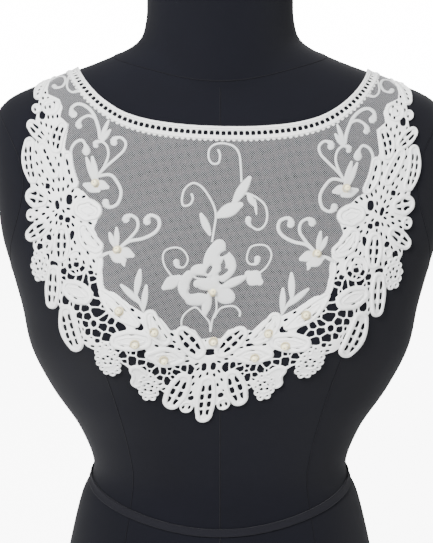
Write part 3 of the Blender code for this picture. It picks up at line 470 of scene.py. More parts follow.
def mixed(grid: FloatArray, i: FloatArray, j: FloatArray) -> FloatArray:
    """The values of a grid between its points.

    Args:
        grid: The grid, whose first two axes are those of the places.
        i: Places along its first axis, in steps.
        j: Places along its second axis, in steps.

    Returns:
        The value at each place.
    """
    i0 = np.clip(i.astype(int), 0, grid.shape[0] - 2)
    j0 = np.clip(j.astype(int), 0, grid.shape[1] - 2)
    u, v = i - i0, j - j0
    if grid.ndim > 2:
        u, v = u[:, None], v[:, None]
    low = grid[i0, j0] * (1 - u) + grid[i0 + 1, j0] * u
    high = grid[i0, j0 + 1] * (1 - u) + grid[i0 + 1, j0 + 1] * u
    return low * (1 - v) + high * v


def loft(body: bmesh.types.BMesh, rows: Iterable[Iterable[Sequence[float]]],
         closed: bool = False) -> list[list[bmesh.types.BMEdge]]:
    """Skin closed rows of points with faces.

    Args:
        body: The mesh to add them to.
        rows: The rows, one after the other.
        closed: Whether the last row joins the first.

    Returns:
        The edges of each row.
    """
    loops = []
    for row in rows:
        verts = [body.verts.new(spot) for spot in row]
        loops.append([body.edges.new(pair) for pair in zip(verts, verts[1:] + verts[:1])])
    for near, far in zip(loops, loops[1:] + (loops[:1] if closed else [])):
        bmesh.ops.bridge_loops(body, edges=near + far)
    return loops


def finished(body: bmesh.types.BMesh, name: str) -> bpy.types.Mesh:
    """Keep a bmesh as a mesh, and free it.

    Args:
        body: The bmesh.
        name: The mesh's name.

    Returns:
        The mesh.
    """
    mesh = bpy.data.meshes.new(name)
    body.to_mesh(mesh)
    body.free()
    return mesh


def linked(name: str, data: bpy.types.ID) -> bpy.types.Object:
    """Put a new object in the scene.

    Args:
        name: The object's name.
        data: Its mesh, light or camera.

    Returns:
        The object.
    """
    thing = bpy.data.objects.new(name, data)
    bpy.context.scene.collection.objects.link(thing)
    return thing


def whole_edge(half: Sequence[Point], start: int) -> list[Point]:
    """An edge from one side of the pattern to the other.

    Args:
        half: Its points with positive x, the last one on the centre line.
        start: The side that it starts from, 1 or -1.

    Returns:
        The points of both halves.
    """
    return [(start * x, y) for x, y in half] + [(-start * x, y) for x, y in half[-2::-1]]


@dataclass(frozen=True)
class FormShape:
    """The smooth outer shape of the limbless dress form, in millimetres."""

    levels: int = 31
    front_sides: int = 30
    back_sides: int = 20
    bust_x: float = 82.0
    bust_z: float = 338.0
    bust_depth: float = 22.0
    bust_spread_x: float = 46.0
    bust_spread_up: float = 62.0
    bust_spread_down: float = 40.0

    def level(self, ring: FloatArray, finer: int) -> FloatArray:
        """The points of one level.

        Args:
            ring: The level's sizes, as in Ring.
            finer: How many times finer than the plain form.

        Returns:
            The points round the level.
        """
        width, front, back, z_side, z_front, z_back, squareness = ring
        behind = np.arange(self.back_sides * finer) / (self.back_sides * finer) * math.pi
        before = np.arange(self.front_sides * finer) / (self.front_sides * finer) * math.pi
        turn = np.concatenate([behind, before + math.pi])
        x = width * np.cos(turn)
        deep = np.sign(np.sin(turn)) * np.sqrt(1 - np.abs(np.cos(turn)) ** squareness)
        depth = np.sign(deep) * np.abs(deep) ** (2 / squareness)
        y = np.where(deep < 0, front, back) * depth
        z = z_side + (np.where(deep < 0, z_front, z_back) - z_side) * np.abs(deep) ** 2
        beside = sum(np.exp(-(((x - s * self.bust_x) / self.bust_spread_x) ** 2)) for s in (-1, 1))
        spread = np.where(z > self.bust_z, self.bust_spread_up, self.bust_spread_down)
        height = np.exp(-(((z - self.bust_z) / spread) ** 2))
        y = y - self.bust_depth * beside * height * np.clip(-depth, 0, 1) ** 0.8
        return np.stack([x, y, z], 1)

    def body(self, finer: int) -> bmesh.types.BMesh:
        """The whole form as one closed body, in millimetres.

        Args:
            finer: How many times finer than the plain form.

        Returns:
            A new bmesh, which the caller frees.
        """
        form = bmesh.new()
        rings = smooth_rows(RINGS, (self.levels - 1) * finer + 1)
        loops = loft(form, [self.level(ring, finer) for ring in rings])
        for end in (loops[0], loops[-1]):
            bmesh.ops.contextual_create(form, geom=end)
        bmesh.ops.recalc_face_normals(form, faces=form.faces[:])
        return form


class Shell:
    """The form's surface: the outer one of the plain body and a finer one."""

    def __init__(self, shape: FormShape) -> None:
        """Keep both surfaces for casting rays.

        Args:
            shape: The form that the cloth lies on.
        """
        self.surfaces: list[BVHTree] = []
        for finer in (1, 4):
            body = shape.body(finer)
            bmesh.ops.triangulate(body, faces=body.faces[:])
            self.surfaces.append(BVHTree.FromBMesh(body))
            body.free()

    def hit(self, start: Sequence[float], way: Sequence[float]) -> Vector | None:
        """The outermost place where a ray from inside leaves the form.

        Args:
            start: A point inside the form.
            way: The direction of the ray.

        Returns:
            The place, or None where the ray misses.
        """
        hits = [surface.ray_cast(Vector(start), Vector(way)) for surface in self.surfaces]
        if any(hit[0] is None for hit in hits):
            return None
        return max(hits, key=lambda hit: hit[3])[0]

    def traced(self, rays: Iterable[tuple[Sequence[float], Sequence[float]]]) -> list[Vector]:
        """Where rays from inside leave the finer surface.

        Args:
            rays: The start and the direction of each ray.

        Returns:
            The places, without those of rays that miss.
        """
        hits = [self.surfaces[1].ray_cast(Vector(start), Vector(way))[0] for start, way in rays]
        return [hit for hit in hits if hit is not None]


@dataclass
class Drape:
    """The map from the flat pattern to places on the form."""

    shell: Shell
    bust_line_z: float = 430.0
    step: float = 3.0
    half_width: float = 186.0
    low: float = -190.0
    high: float = 190.0
    reach: int = 2
    widest: float = 178.0
    first_turn: int = -62
    last_turn: int = 204
    rising: int = 90
    lean_offset: float = -0.8
    lean_slope: float = 0.058
    lean_curve_up: float = -0.00025
    lean_curve_down: float = -0.00011
    drop_slope: float = 0.020
    tip_turn: float = 0.18
    tip_turn_y: float = -150.0
    tip_turn_wide: float = 50.0
    tip_turn_high: float = 45.0
    place: FloatArray = field(init=False)
    out: FloatArray = field(init=False)

    def __post_init__(self) -> None:
        """Follow the form's surface up and over the shoulder, column by column."""
        across = np.arange(-self.half_width, self.half_width + 1, self.step)
        up = np.arange(self.low, self.high + 1, self.step)
        widths = np.arange(0.0, self.widest + 1)
        fronts = [self.shell.hit((x, 0, self.bust_line_z), (0, -1, 0)).y for x in widths]
        girth = run_along(np.column_stack([widths, fronts]))
        self.place = np.zeros((len(across), len(up), 3))
        for k, flat in enumerate(across):
            x = math.copysign(float(np.interp(abs(flat), girth, widths)), flat)
            y, z = self.column(x, up)
            self.place[k] = np.stack([np.full(len(up), x), y, z], 1)
        r = self.reach
        padded = np.pad(self.place, ((r, r), (r, r), (0, 0)), mode="edge")
        side = padded[2 * r:, r:-r] - padded[:-2 * r, r:-r]
        rise = padded[r:-r, 2 * r:] - padded[r:-r, :-2 * r]
        out = np.cross(side, rise)
        self.out = out / (np.linalg.norm(out, axis=2, keepdims=True) + TINY)

    def column(self, x: float, up: FloatArray) -> tuple[FloatArray, FloatArray]:
        """Depth and height along one column, at even distances from the bust line.

        Args:
            x: The column's place across the form.
            up: Distances from the bust line.

        Returns:
            The depths and the heights.
        """
        points = []
        for degrees in range(self.first_turn, self.last_turn + 1):
            turn = math.radians(degrees)
            hit = self.shell.hit((x, 0, self.bust_line_z), (0, -math.cos(turn), math.sin(turn)))
            if hit is not None:
                points.append((hit.y, hit.z))
        line = np.array(points)
        length = run_along(line)
        front, heights = slice(self.rising), line[:, 1]
        length -= np.interp(self.bust_line_z, heights[front], length[front])
        return np.interp(up, length, line[:, 0]), np.interp(up, length, heights)

    def on_cloth(self, x: FloatArray, y: FloatArray) -> tuple[FloatArray, FloatArray]:
        """Move points of the even pattern to where the leaning yoke carries them.

        Args:
            x: Places across the pattern.
            y: Places up the pattern.

        Returns:
            Both places on the cloth as it lies on the form.
        """
        curve = np.where(y > 0, self.lean_curve_up, self.lean_curve_down)
        near_tip = np.exp(-((x / self.tip_turn_wide) ** 2
                            + ((y - self.tip_turn_y) / self.tip_turn_high) ** 2))
        lean = self.lean_offset + self.lean_slope * y + curve * y * y
        return x + lean, y - self.drop_slope * x + self.tip_turn * x * near_tip

    def at(self, points: FloatArray) -> FloatArray:
        """Places in space of flat points.

        Args:
            points: Rows of x, y and the height off the form, in millimetres.

        Returns:
            Rows of places in space, in millimetres.
        """
        a, b = self.on_cloth(points[:, 0], points[:, 1])
        i = (a + self.half_width) / self.step
        j = (b - self.low) / self.step
        out = mixed(self.out, i, j)
        out /= np.linalg.norm(out, axis=1, keepdims=True)
        return mixed(self.place, i, j) + out * points[:, 2:3]


@dataclass
class FlatMesh:
    """A mesh on the pattern: rows of x, y and height, its faces and stitch places."""

    points: FloatArray
    faces: list[tuple[int, ...]]
    stitch: FloatArray

    @staticmethod
    def joined(parts: Sequence["FlatMesh"]) -> "FlatMesh":
        """Several meshes as one.

        Args:
            parts: The meshes.

        Returns:
            One mesh that holds them all.
        """
        faces: list[tuple[int, ...]] = []
        start = 0
        for part in parts:
            faces += [tuple(k + start for k in face) for face in part.faces]
            start += len(part.points)
        return FlatMesh(np.vstack([p.points for p in parts]), faces,
                        np.concatenate([p.stitch for p in parts]))


class Sheet:
    """A grid of distances to a shape, negative inside, and of places along its strokes."""

    HALF_WIDTH = 172.0
    LOW = -176.0
    HIGH = 158.0
    REACH = 6.0
    LEAST_SHARE = 0.08

    def __init__(self, step: float) -> None:
        """An empty sheet.

        Args:
            step: The distance between two grid points, in millimetres.
        """
        self.step = step
        self.xs = np.arange(-self.HALF_WIDTH, self.HALF_WIDTH + step / 2, step)
        self.ys = np.arange(self.LOW, self.HIGH + step / 2, step)
        self.x, self.y = np.meshgrid(self.xs, self.ys, indexing="ij")
        self.field = np.full(self.x.shape, self.REACH)
        self.along = np.zeros(self.x.shape)

    def window(self, points: Sequence[Sequence[float]], margin: float = 0.0
               ) -> tuple[slice, slice]:
        """The part of the grid round some points, with the field's reach round it.

        Args:
            points: The points.
            margin: How much further it goes.

        Returns:
            The two slices of the grid.
        """
        reach = margin + self.REACH
        low, high = np.min(points, 0) - reach, np.max(points, 0) + reach
        return (slice(*np.searchsorted(self.xs, (low[0], high[0]))),
                slice(*np.searchsorted(self.ys, (low[1], high[1]))))

    def add_chain(self, spine: Sequence[Point] | FloatArray, radii: Sequence[float]) -> None:
        """Add a row of round-ended strokes whose width changes along them.

        Args:
            spine: The middle line.
            radii: The half width at each of its points.
        """
        run = 0.0
        for p, q, near, far in zip(spine, spine[1:], radii, radii[1:]):
            part = self.window((p, q), max(near, far))
            away, along, length = stroke(self.x[part], self.y[part], p, q, near, far)
            nearer = away < self.field[part]
            self.along[part] = np.where(nearer, run + along, self.along[part])
            self.field[part] = np.minimum(self.field[part], away)
            run += length

    def add_disc(self, middle: Point, radius: float) -> None:
        """Add a round shape.

        Args:
            middle: Its middle.
            radius: Its radius.
        """
        self.add_chain([middle, middle], [radius, radius])

    def add_polygon(self, points: Sequence[Point]) -> None:
        """Add a closed outline as a filled shape.

        Args:
            points: The corners of the outline.
        """
        inside = np.zeros(self.x.shape, bool)
        away = np.full(self.x.shape, self.REACH)
        for p, q in zip(points, list(points[1:]) + list(points[:1])):
            if p[1] != q[1]:
                crosses = (p[1] > self.y) != (q[1] > self.y)
                edge = p[0] + (self.y - p[1]) * (q[0] - p[0]) / (q[1] - p[1])
                inside ^= crosses & (self.x < edge)
            part = self.window((p, q))
            away[part] = np.minimum(away[part], stroke(self.x[part], self.y[part], p, q)[0])
        self.field = np.minimum(self.field, np.where(inside, -away, away))

    def add_opening(self, opening: Opening, bar: float) -> None:
        """Add a rounded gap, kept a bar's width away from those already there.

        Args:
            opening: The gap.
            bar: The least width between two gaps.
        """
        part = self.window([(opening.x, opening.y)], max(opening.width, opening.height))
        hole = opening.away(self.x[part], self.y[part])
        hole = np.maximum(hole, bar - self.field[part])
        self.field[part] = np.minimum(self.field[part], hole)

    def cut(self, other: "Sheet", margin: float = 0.0) -> None:
        """Take another shape, grown by a margin, out of this one.

        Args:
            other: The shape to take out.
            margin: How much it grows first.
        """
        self.field = np.maximum(self.field, margin - other.field)

    def value(self, x: FloatArray, y: FloatArray, grid: FloatArray | None = None) -> FloatArray:
        """The field at any points of the sheet.

        Args:
            x: Places across.
            y: Places up.
            grid: Another grid of the same size to read instead.

        Returns:
            The values there.
        """
        grid = self.field if grid is None else grid
        return mixed(grid, (x - self.xs[0]) / self.step, (y - self.ys[0]) / self.step)

    def area(self) -> float:
        """The area inside the shape.

        Returns:
            Square metres.
        """
        return float(np.count_nonzero(self.field < 0)) * (self.step * MM) ** 2

    def size(self) -> tuple[float, float]:
        """How wide and how long the shape is.

        Returns:
            Width and length, in metres.
        """
        x, y = self.x[self.field < 0], self.y[self.field < 0]
        return float(np.ptp(x) + self.step) * MM, float(np.ptp(y) + self.step) * MM

    def patch(self) -> tuple[FloatArray, list[tuple[int, ...]]]:
        """The shape as a flat mesh whose border follows the zero line.

        Returns:
            Rows of x and y, and the faces, which run anticlockwise.
        """
        f = self.field
        inside = f < 0
        nx, ny = f.shape
        number = -np.ones((3, nx, ny), int)
        number[0][inside] = np.arange(np.count_nonzero(inside))
        points = [np.stack([self.x[inside], self.y[inside]], 1)]
        count = len(points[0])
        for kind, (di, dj) in ((1, (1, 0)), (2, (0, 1))):
            a, b = f[:nx - di, :ny - dj], f[di:, dj:]
            i, j = np.nonzero((a < 0) ^ (b < 0))
            t = np.clip(a[i, j] / (a[i, j] - b[i, j]), self.LEAST_SHARE, 1 - self.LEAST_SHARE)
            number[kind][i, j] = count + np.arange(len(i))
            points.append(np.stack([self.xs[i] + t * di * self.step,
                                    self.ys[j] + t * dj * self.step], 1))
            count += len(i)
        full = inside[:-1, :-1] & inside[1:, :-1] & inside[1:, 1:] & inside[:-1, 1:]
        i, j = np.nonzero(full)
        quads = np.stack([number[0][i, j], number[0][i + 1, j],
                          number[0][i + 1, j + 1], number[0][i, j + 1]], 1)
        faces = [tuple(quad) for quad in quads.tolist()]
        some = inside[:-1, :-1] | inside[1:, :-1] | inside[1:, 1:] | inside[:-1, 1:]
        for i, j in zip(*np.nonzero(some & ~full)):
            corners = ((i, j), (i + 1, j), (i + 1, j + 1), (i, j + 1))
            edges = ((1, i, j), (2, i + 1, j), (1, i, j + 1), (2, i, j))
            face = []
            for k in range(4):
                if inside[corners[k]]:
                    face.append(int(number[0][corners[k]]))
                if inside[corners[k]] != inside[corners[(k + 1) % 4]]:
                    face.append(int(number[edges[k]]))
            faces.append(tuple(face))
        return np.vstack(points), faces


def petal_spine(petal: Petal, parts: int = 6) -> tuple[FloatArray, FloatArray]:
    """The middle line of a petal and its half widths, blunt at both ends.

    Args:
        petal: The petal.
        parts: How many strokes the line has.

    Returns:
        The points of the line and the half width at each.
    """
    root, way, beside, length = petal.axes()
    end = petal.blunt * petal.width / 2
    t = np.linspace(0, 1, parts + 1)
    spine = root + way * (end + t * (length - 2 * end))[:, None]
    spine = spine + beside * (petal.bulge * np.sin(np.pi * t))[:, None]
    return spine, petal.width / 2 * (petal.blunt + (1 - petal.blunt) * np.sin(np.pi * t))


def mirror_petal(petal: Petal) -> Petal:
    """The same petal on the other side of the centre front.

    Args:
        petal: The petal.

    Returns:
        Its mirror image.
    """
    return petal._replace(root_x=-petal.root_x, tip_x=-petal.tip_x, bulge=-petal.bulge)


def border_petals() -> list[Petal]:
    """The petals and leaves of one half of the border, later ones lying on top.

    Returns:
        The petals.
    """
    return [petal._replace(blunt=BORDER_BLUNT) for petal in BORDER_PETALS] + list(BORDER_LEAVES)


def both_sides(petals: Sequence[Petal]) -> list[Petal]:
    """Petals and their mirror images, without a second one on the centre line.

    Args:
        petals: The petals of one half.

    Returns:
        Those of both halves.
    """
    return list(petals) + [mirror_petal(p) for p in petals if p.root_x or p.tip_x]


def petal_distance(petal: Petal, points: FloatArray) -> FloatArray:
    """How far points are from a petal's edge, negative inside.

    Args:
        petal: The petal.
        points: Rows of x and y.

    Returns:
        One distance for each point.
    """
    spine, radii = petal_spine(petal, FINE_SPINE)
    strokes = zip(spine, spine[1:], radii, radii[1:])
    return np.min([stroke(*points.T, *ends)[0] for ends in strokes], 0)


def petal_outline(petal: Petal, inset: float, spacing: float) -> FloatArray:
    """A closed line inside a petal's edge.

    Args:
        petal: The petal.
        inset: How far inside its edge the line runs.
        spacing: The distance between two points of the line.

    Returns:
        The points of the line.
    """
    spine, radii = petal_spine(petal, 2 * FINE_SPINE)
    inner = radii - inset > 0.05 * petal.width
    spine, radii = spine[inner], radii[inner] - inset
    way = ways_along(spine)
    side = left_of(way) * radii[:, None]
    caps = []
    for spot, turn, radius in ((spine[-1], way[-1], radii[-1]), (spine[0], -way[0], radii[0])):
        angles = np.linspace(0, math.pi, 9)[1:-1, None]
        across = np.array((-turn[1], turn[0]))
        caps.append(spot + radius * (np.cos(angles) * across + np.sin(angles) * turn))
    ring = np.vstack([spine + side, caps[0], (spine - side)[::-1], caps[1], spine[:1] + side[:1]])
    length = run_along(ring)[-1]
    count = max(int(length / spacing), 8)
    return spots_along(ring, np.linspace(0, length, count, endpoint=False))


@dataclass(frozen=True)
class CordMaker:
    """Makes satin-stitched cords that lie on the flat pattern."""

    sides: int = 6
    ridge: float = 0.035
    flatness: float = 0.55
    groove: float = 0.0
    groove_width: float = 0.3

    def tube(self, line: FloatArray, radius: FloatArray | float, height: FloatArray | float,
             closed: bool = False, flatness: float | None = None) -> FlatMesh:
        """One cord along a flat line, ridged by its stitches.

        Args:
            line: The points of its middle line.
            radius: Half of its width, for each point or for all.
            height: How high its middle is over the form, for each point or for all.
            closed: Whether the line joins its start.
            flatness: Its thickness as a share of its width.

        Returns:
            The cord's flat mesh.
        """
        count = len(line)
        if closed:
            way = np.roll(line, -1, axis=0) - np.roll(line, 1, axis=0)
        else:
            way = np.gradient(line, axis=0)
        way = way / (np.hypot(way[:, 0], way[:, 1])[:, None] + TINY)
        ridges = 1 + self.ridge * np.where(np.arange(count) % 2, 1.0, -1.0)
        radii = np.broadcast_to(np.asarray(radius, float), (count,)) * ridges
        heights = np.broadcast_to(np.asarray(height, float), (count,))
        turn = np.arange(self.sides) / self.sides * 2 * math.pi
        flat = self.flatness if flatness is None else flatness
        across = radii[:, None] * np.cos(turn)
        points = np.empty((count, self.sides, 3))
        points[:, :, :2] = line[:, None] + left_of(way)[:, None] * across[:, :, None]
        dip = 1 - self.groove * np.exp(-((np.cos(turn) / self.groove_width) ** 2)) * (np.sin(turn) > 0)
        points[:, :, 2] = heights[:, None] + radii[:, None] * flat * np.sin(turn) * dip
        faces: list[tuple[int, ...]] = []
        n = self.sides
        for k in range(count if closed else count - 1):
            after = (k + 1) % count
            for c in range(n):
                d = (c + 1) % n
                faces.append((k * n + c, k * n + d, after * n + d, after * n + c))
        if not closed:
            faces.append(tuple(range(n)))
            faces.append(tuple(reversed(range((count - 1) * n, count * n))))
        return FlatMesh(points.reshape(-1, 3), faces, np.repeat(run_along(line), n))


def set_inputs(node: bpy.types.Node, values: Inputs) -> None:
    """Set constants on a node's sockets.

    Args:
        node: The node.
        values: A value for each socket's name or number.
    """
    for socket, value in values.items():
        node.inputs[socket].default_value = value


class Recipe:
    """A new material, with short ways to add nodes to it."""

    def __init__(self, name: str, values: Inputs) -> None:
        """Start with the main shader.

        Args:
            name: The material's name.
            values: The main shader's constants.
        """
        self.material = bpy.data.materials.new(name)
        self.material.use_nodes = True
        self.tree = self.material.node_tree
        self.link = self.tree.links.new
        self.shader = self.tree.nodes["Principled BSDF"]
        set_inputs(self.shader, values)

    def node(self, kind: str, values: Inputs | None = None, **options: str) -> bpy.types.Node:
        """Add a node.

        Args:
            kind: Its type, without the first words that all of them have.
            values: Its constants.
            options: Its settings.

        Returns:
            The node.
        """
        node = self.tree.nodes.new(f"ShaderNode{kind}")
        for option, value in options.items():
            setattr(node, option, value)
        set_inputs(node, values or {})
        return node

    def noise(self, scale: float, detail: float) -> bpy.types.NodeSocket:
        """Add noise on the object's own coordinates.

        Args:
            scale: How fine it is.
            detail: How many finer layers it has.

        Returns:
            Its level.
        """
        noise = self.node("TexNoise", {"Scale": scale, "Detail": detail})
        self.link(self.node("TexCoord").outputs["Object"], noise.inputs["Vector"])
        return noise.outputs["Fac"]

    def bump(self, level: bpy.types.NodeSocket, strength: float, depth: float) -> None:
        """Give the surface a fine relief.

        Args:
            level: The relief.
            strength: How strong it is.
            depth: How deep it is, in metres.
        """
        bump = self.node("Bump", {"Strength": strength, "Distance": depth})
        self.link(level, bump.inputs["Height"])
        self.link(bump.outputs["Normal"], self.shader.inputs["Normal"])

    def paint(self, colour: Colour, level: bpy.types.NodeSocket, values: Inputs) -> None:
        """Give the surface a colour that changes with a level.

        Args:
            colour: The colour.
            level: What shades it.
            values: How the level turns into brightness.
        """
        tint = self.node("MapRange", values)
        paint = self.node("Mix", data_type="RGBA", blend_type="MULTIPLY")
        set_inputs(paint, {"Factor": 1.0, "A": (*colour, 1.0)})
        self.link(level, tint.inputs["Value"])
        self.link(tint.outputs[0], paint.inputs["B"])
        self.link(paint.outputs["Result"], self.shader.inputs["Base Color"])


@dataclass(frozen=True)
class ThreadFinish:
    """White embroidery thread: satin stitches laid side by side, with painted shade in the grooves
    between the stitches and a random fuzz tone.
    """

    name: str
    colour: Colour
    stitch_pitch: float = 0.8
    bump: float = 0.5
    depth: float = 0.00012
    roughness: float = 0.55
    sheen: float = 0.25
    fuzz: float = 900.0
    fuzz_share: float = 0.5
    levels: Point = (-0.6, 1.2)
    # The lowest brightness of the painted shade in the grooves between stitches.
    painted_groove_shade: float = 0.80

    def material(self) -> bpy.types.Material:
        """Build the finish.

        Returns:
            The material.
        """
        recipe = Recipe(self.name, {"Roughness": self.roughness, "Sheen Weight": self.sheen,
                                    "Sheen Roughness": 0.5})
        stitch = recipe.node("Attribute", attribute_name="stitch")
        waves = recipe.node("Math", {1: 2 * math.pi / self.stitch_pitch}, operation="MULTIPLY")
        sine = recipe.node("Math", operation="SINE")
        mix = recipe.node("Math", {1: self.fuzz_share}, operation="MULTIPLY_ADD")
        recipe.link(stitch.outputs["Fac"], waves.inputs[0])
        recipe.link(waves.outputs[0], sine.inputs[0])
        recipe.link(sine.outputs[0], mix.inputs[0])
        recipe.link(recipe.noise(self.fuzz, 3.0), mix.inputs[2])
        recipe.bump(mix.outputs[0], self.bump, self.depth)
        # Painted shade: the colour darkens where the stitch waves dip, standing in for shade in the
        # grooves between the satin stitches; the fuzz noise adds a random tone.
        low, high = self.levels
        recipe.paint(self.colour, mix.outputs[0], {"From Min": low, "From Max": high,
                                                   "To Min": self.painted_groove_shade, "To Max": 1.0})
        return recipe.material


@dataclass(frozen=True)
class ClothFinish:
    """Matt cloth with a fine grain and a faint mottle."""

    name: str
    colour: Colour
    roughness: float = 0.85
    grain: float = 1400.0
    bump: float = 0.25
    depth: float = 0.0003
    mottle: float = 0.30
    mottle_size: float = 14.0
    sheen: float = 0.04
    gloss: float = 0.08

    def material(self) -> bpy.types.Material:
        """Build the finish.

        Returns:
            The material.
        """
        recipe = Recipe(self.name, {"Roughness": self.roughness, "Sheen Weight": self.sheen,
                                    "Sheen Roughness": 0.6, "Specular IOR Level": self.gloss})
        recipe.bump(recipe.noise(self.grain, 2.0), self.bump, self.depth)
        recipe.paint(self.colour, recipe.noise(self.mottle_size, 4.0),
                     {"To Min": 1.0 - self.mottle, "To Max": 1.0 + self.mottle})
        return recipe.material


@dataclass(frozen=True)
class PlainFinish:
    """One even colour with a given gloss."""

    name: str
    colour: Colour
    roughness: float = 0.6
    coat: float = 0.0

    def material(self) -> bpy.types.Material:
        """Build the finish.

        Returns:
            The material.
        """
        return Recipe(self.name, {"Base Color": (*self.colour, 1.0), "Roughness": self.roughness,
                                  "Coat Weight": self.coat, "Coat Roughness": 0.15}).material


@dataclass
class Workshop:
    """Turns flat and solid meshes into finished pieces of the object."""

    drape: Drape

    def piece(self, name: str, mesh: bpy.types.Mesh, material: bpy.types.Material,
              nodes: Sequence[str] = ()) -> bpy.types.Object:
        """Link a mesh as a piece that rides on the body.

        Args:
            name: The piece's name.
            mesh: Its mesh, in metres, in place.
            material: Its finish.
            nodes: The plain nodes that it stands for.

        Returns:
            The piece.
        """
        mesh.materials.append(material)
        mesh.shade_smooth()
        thing = linked(name, mesh)
        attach(thing, BODY)
        if nodes:
            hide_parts(*nodes)
        triangles = sum(len(p.vertices) - 2 for p in mesh.polygons)
        LOG.info("%s: %d triangles", name, triangles)
        return thing

    def draped(self, name: str, flat: FlatMesh, material: bpy.types.Material,
               nodes: Sequence[str] = ()) -> bpy.types.Object:
        """Drape a flat mesh over the form and make it a piece.

        Args:
            name: The piece's name.
            flat: The flat mesh.
            material: Its finish.
            nodes: The plain nodes that it stands for.

        Returns:
            The piece.
        """
        mesh = bpy.data.meshes.new(name)
        mesh.from_pydata((self.drape.at(flat.points) * MM).tolist(), [], flat.faces)
        stitch = mesh.attributes.new("stitch", "FLOAT", "POINT")
        stitch.data.foreach_set("value", flat.stitch.astype(np.float32))
        return self.piece(name, mesh, material, nodes)


def plate(sheet: Sheet, low: float, high: Callable[[FloatArray, FloatArray], FloatArray],
          closed: bool = False) -> FlatMesh:
    """A wall over a flat shape, open towards the form unless closed.

    Args:
        sheet: The shape.
        low: The height of its lower edge.
        high: Gives the height of its outer side at points x and y.
        closed: Whether it has an inner side too.

    Returns:
        The flat mesh.
    """
    flat, faces = sheet.patch()
    count = len(flat)
    heads = [a for face in faces for a in face]
    tails = [b for face in faces for b in face[1:] + face[:1]]
    code = np.array(heads, np.int64) * count + np.array(tails, np.int64)
    back = np.array(tails, np.int64) * count + np.array(heads, np.int64)
    open_edges = code[~np.isin(code, back)]
    a, b = (open_edges // count), (open_edges % count)
    top = np.column_stack([flat, high(flat[:, 0], flat[:, 1])])
    along = sheet.value(flat[:, 0], flat[:, 1], sheet.along)
    used = np.arange(count) if closed else np.unique(np.concatenate([a, b]))
    bottom = np.column_stack([flat[used], np.full(len(used), low)])
    walls = np.stack([b, a, *(count + np.searchsorted(used, (a, b)))], 1).tolist()
    under = [tuple(k + count for k in reversed(face)) for face in faces] if closed else []
    return FlatMesh(np.vstack([top, bottom]), faces + under + [tuple(w) for w in walls],
                    np.concatenate([along, along[used]]))


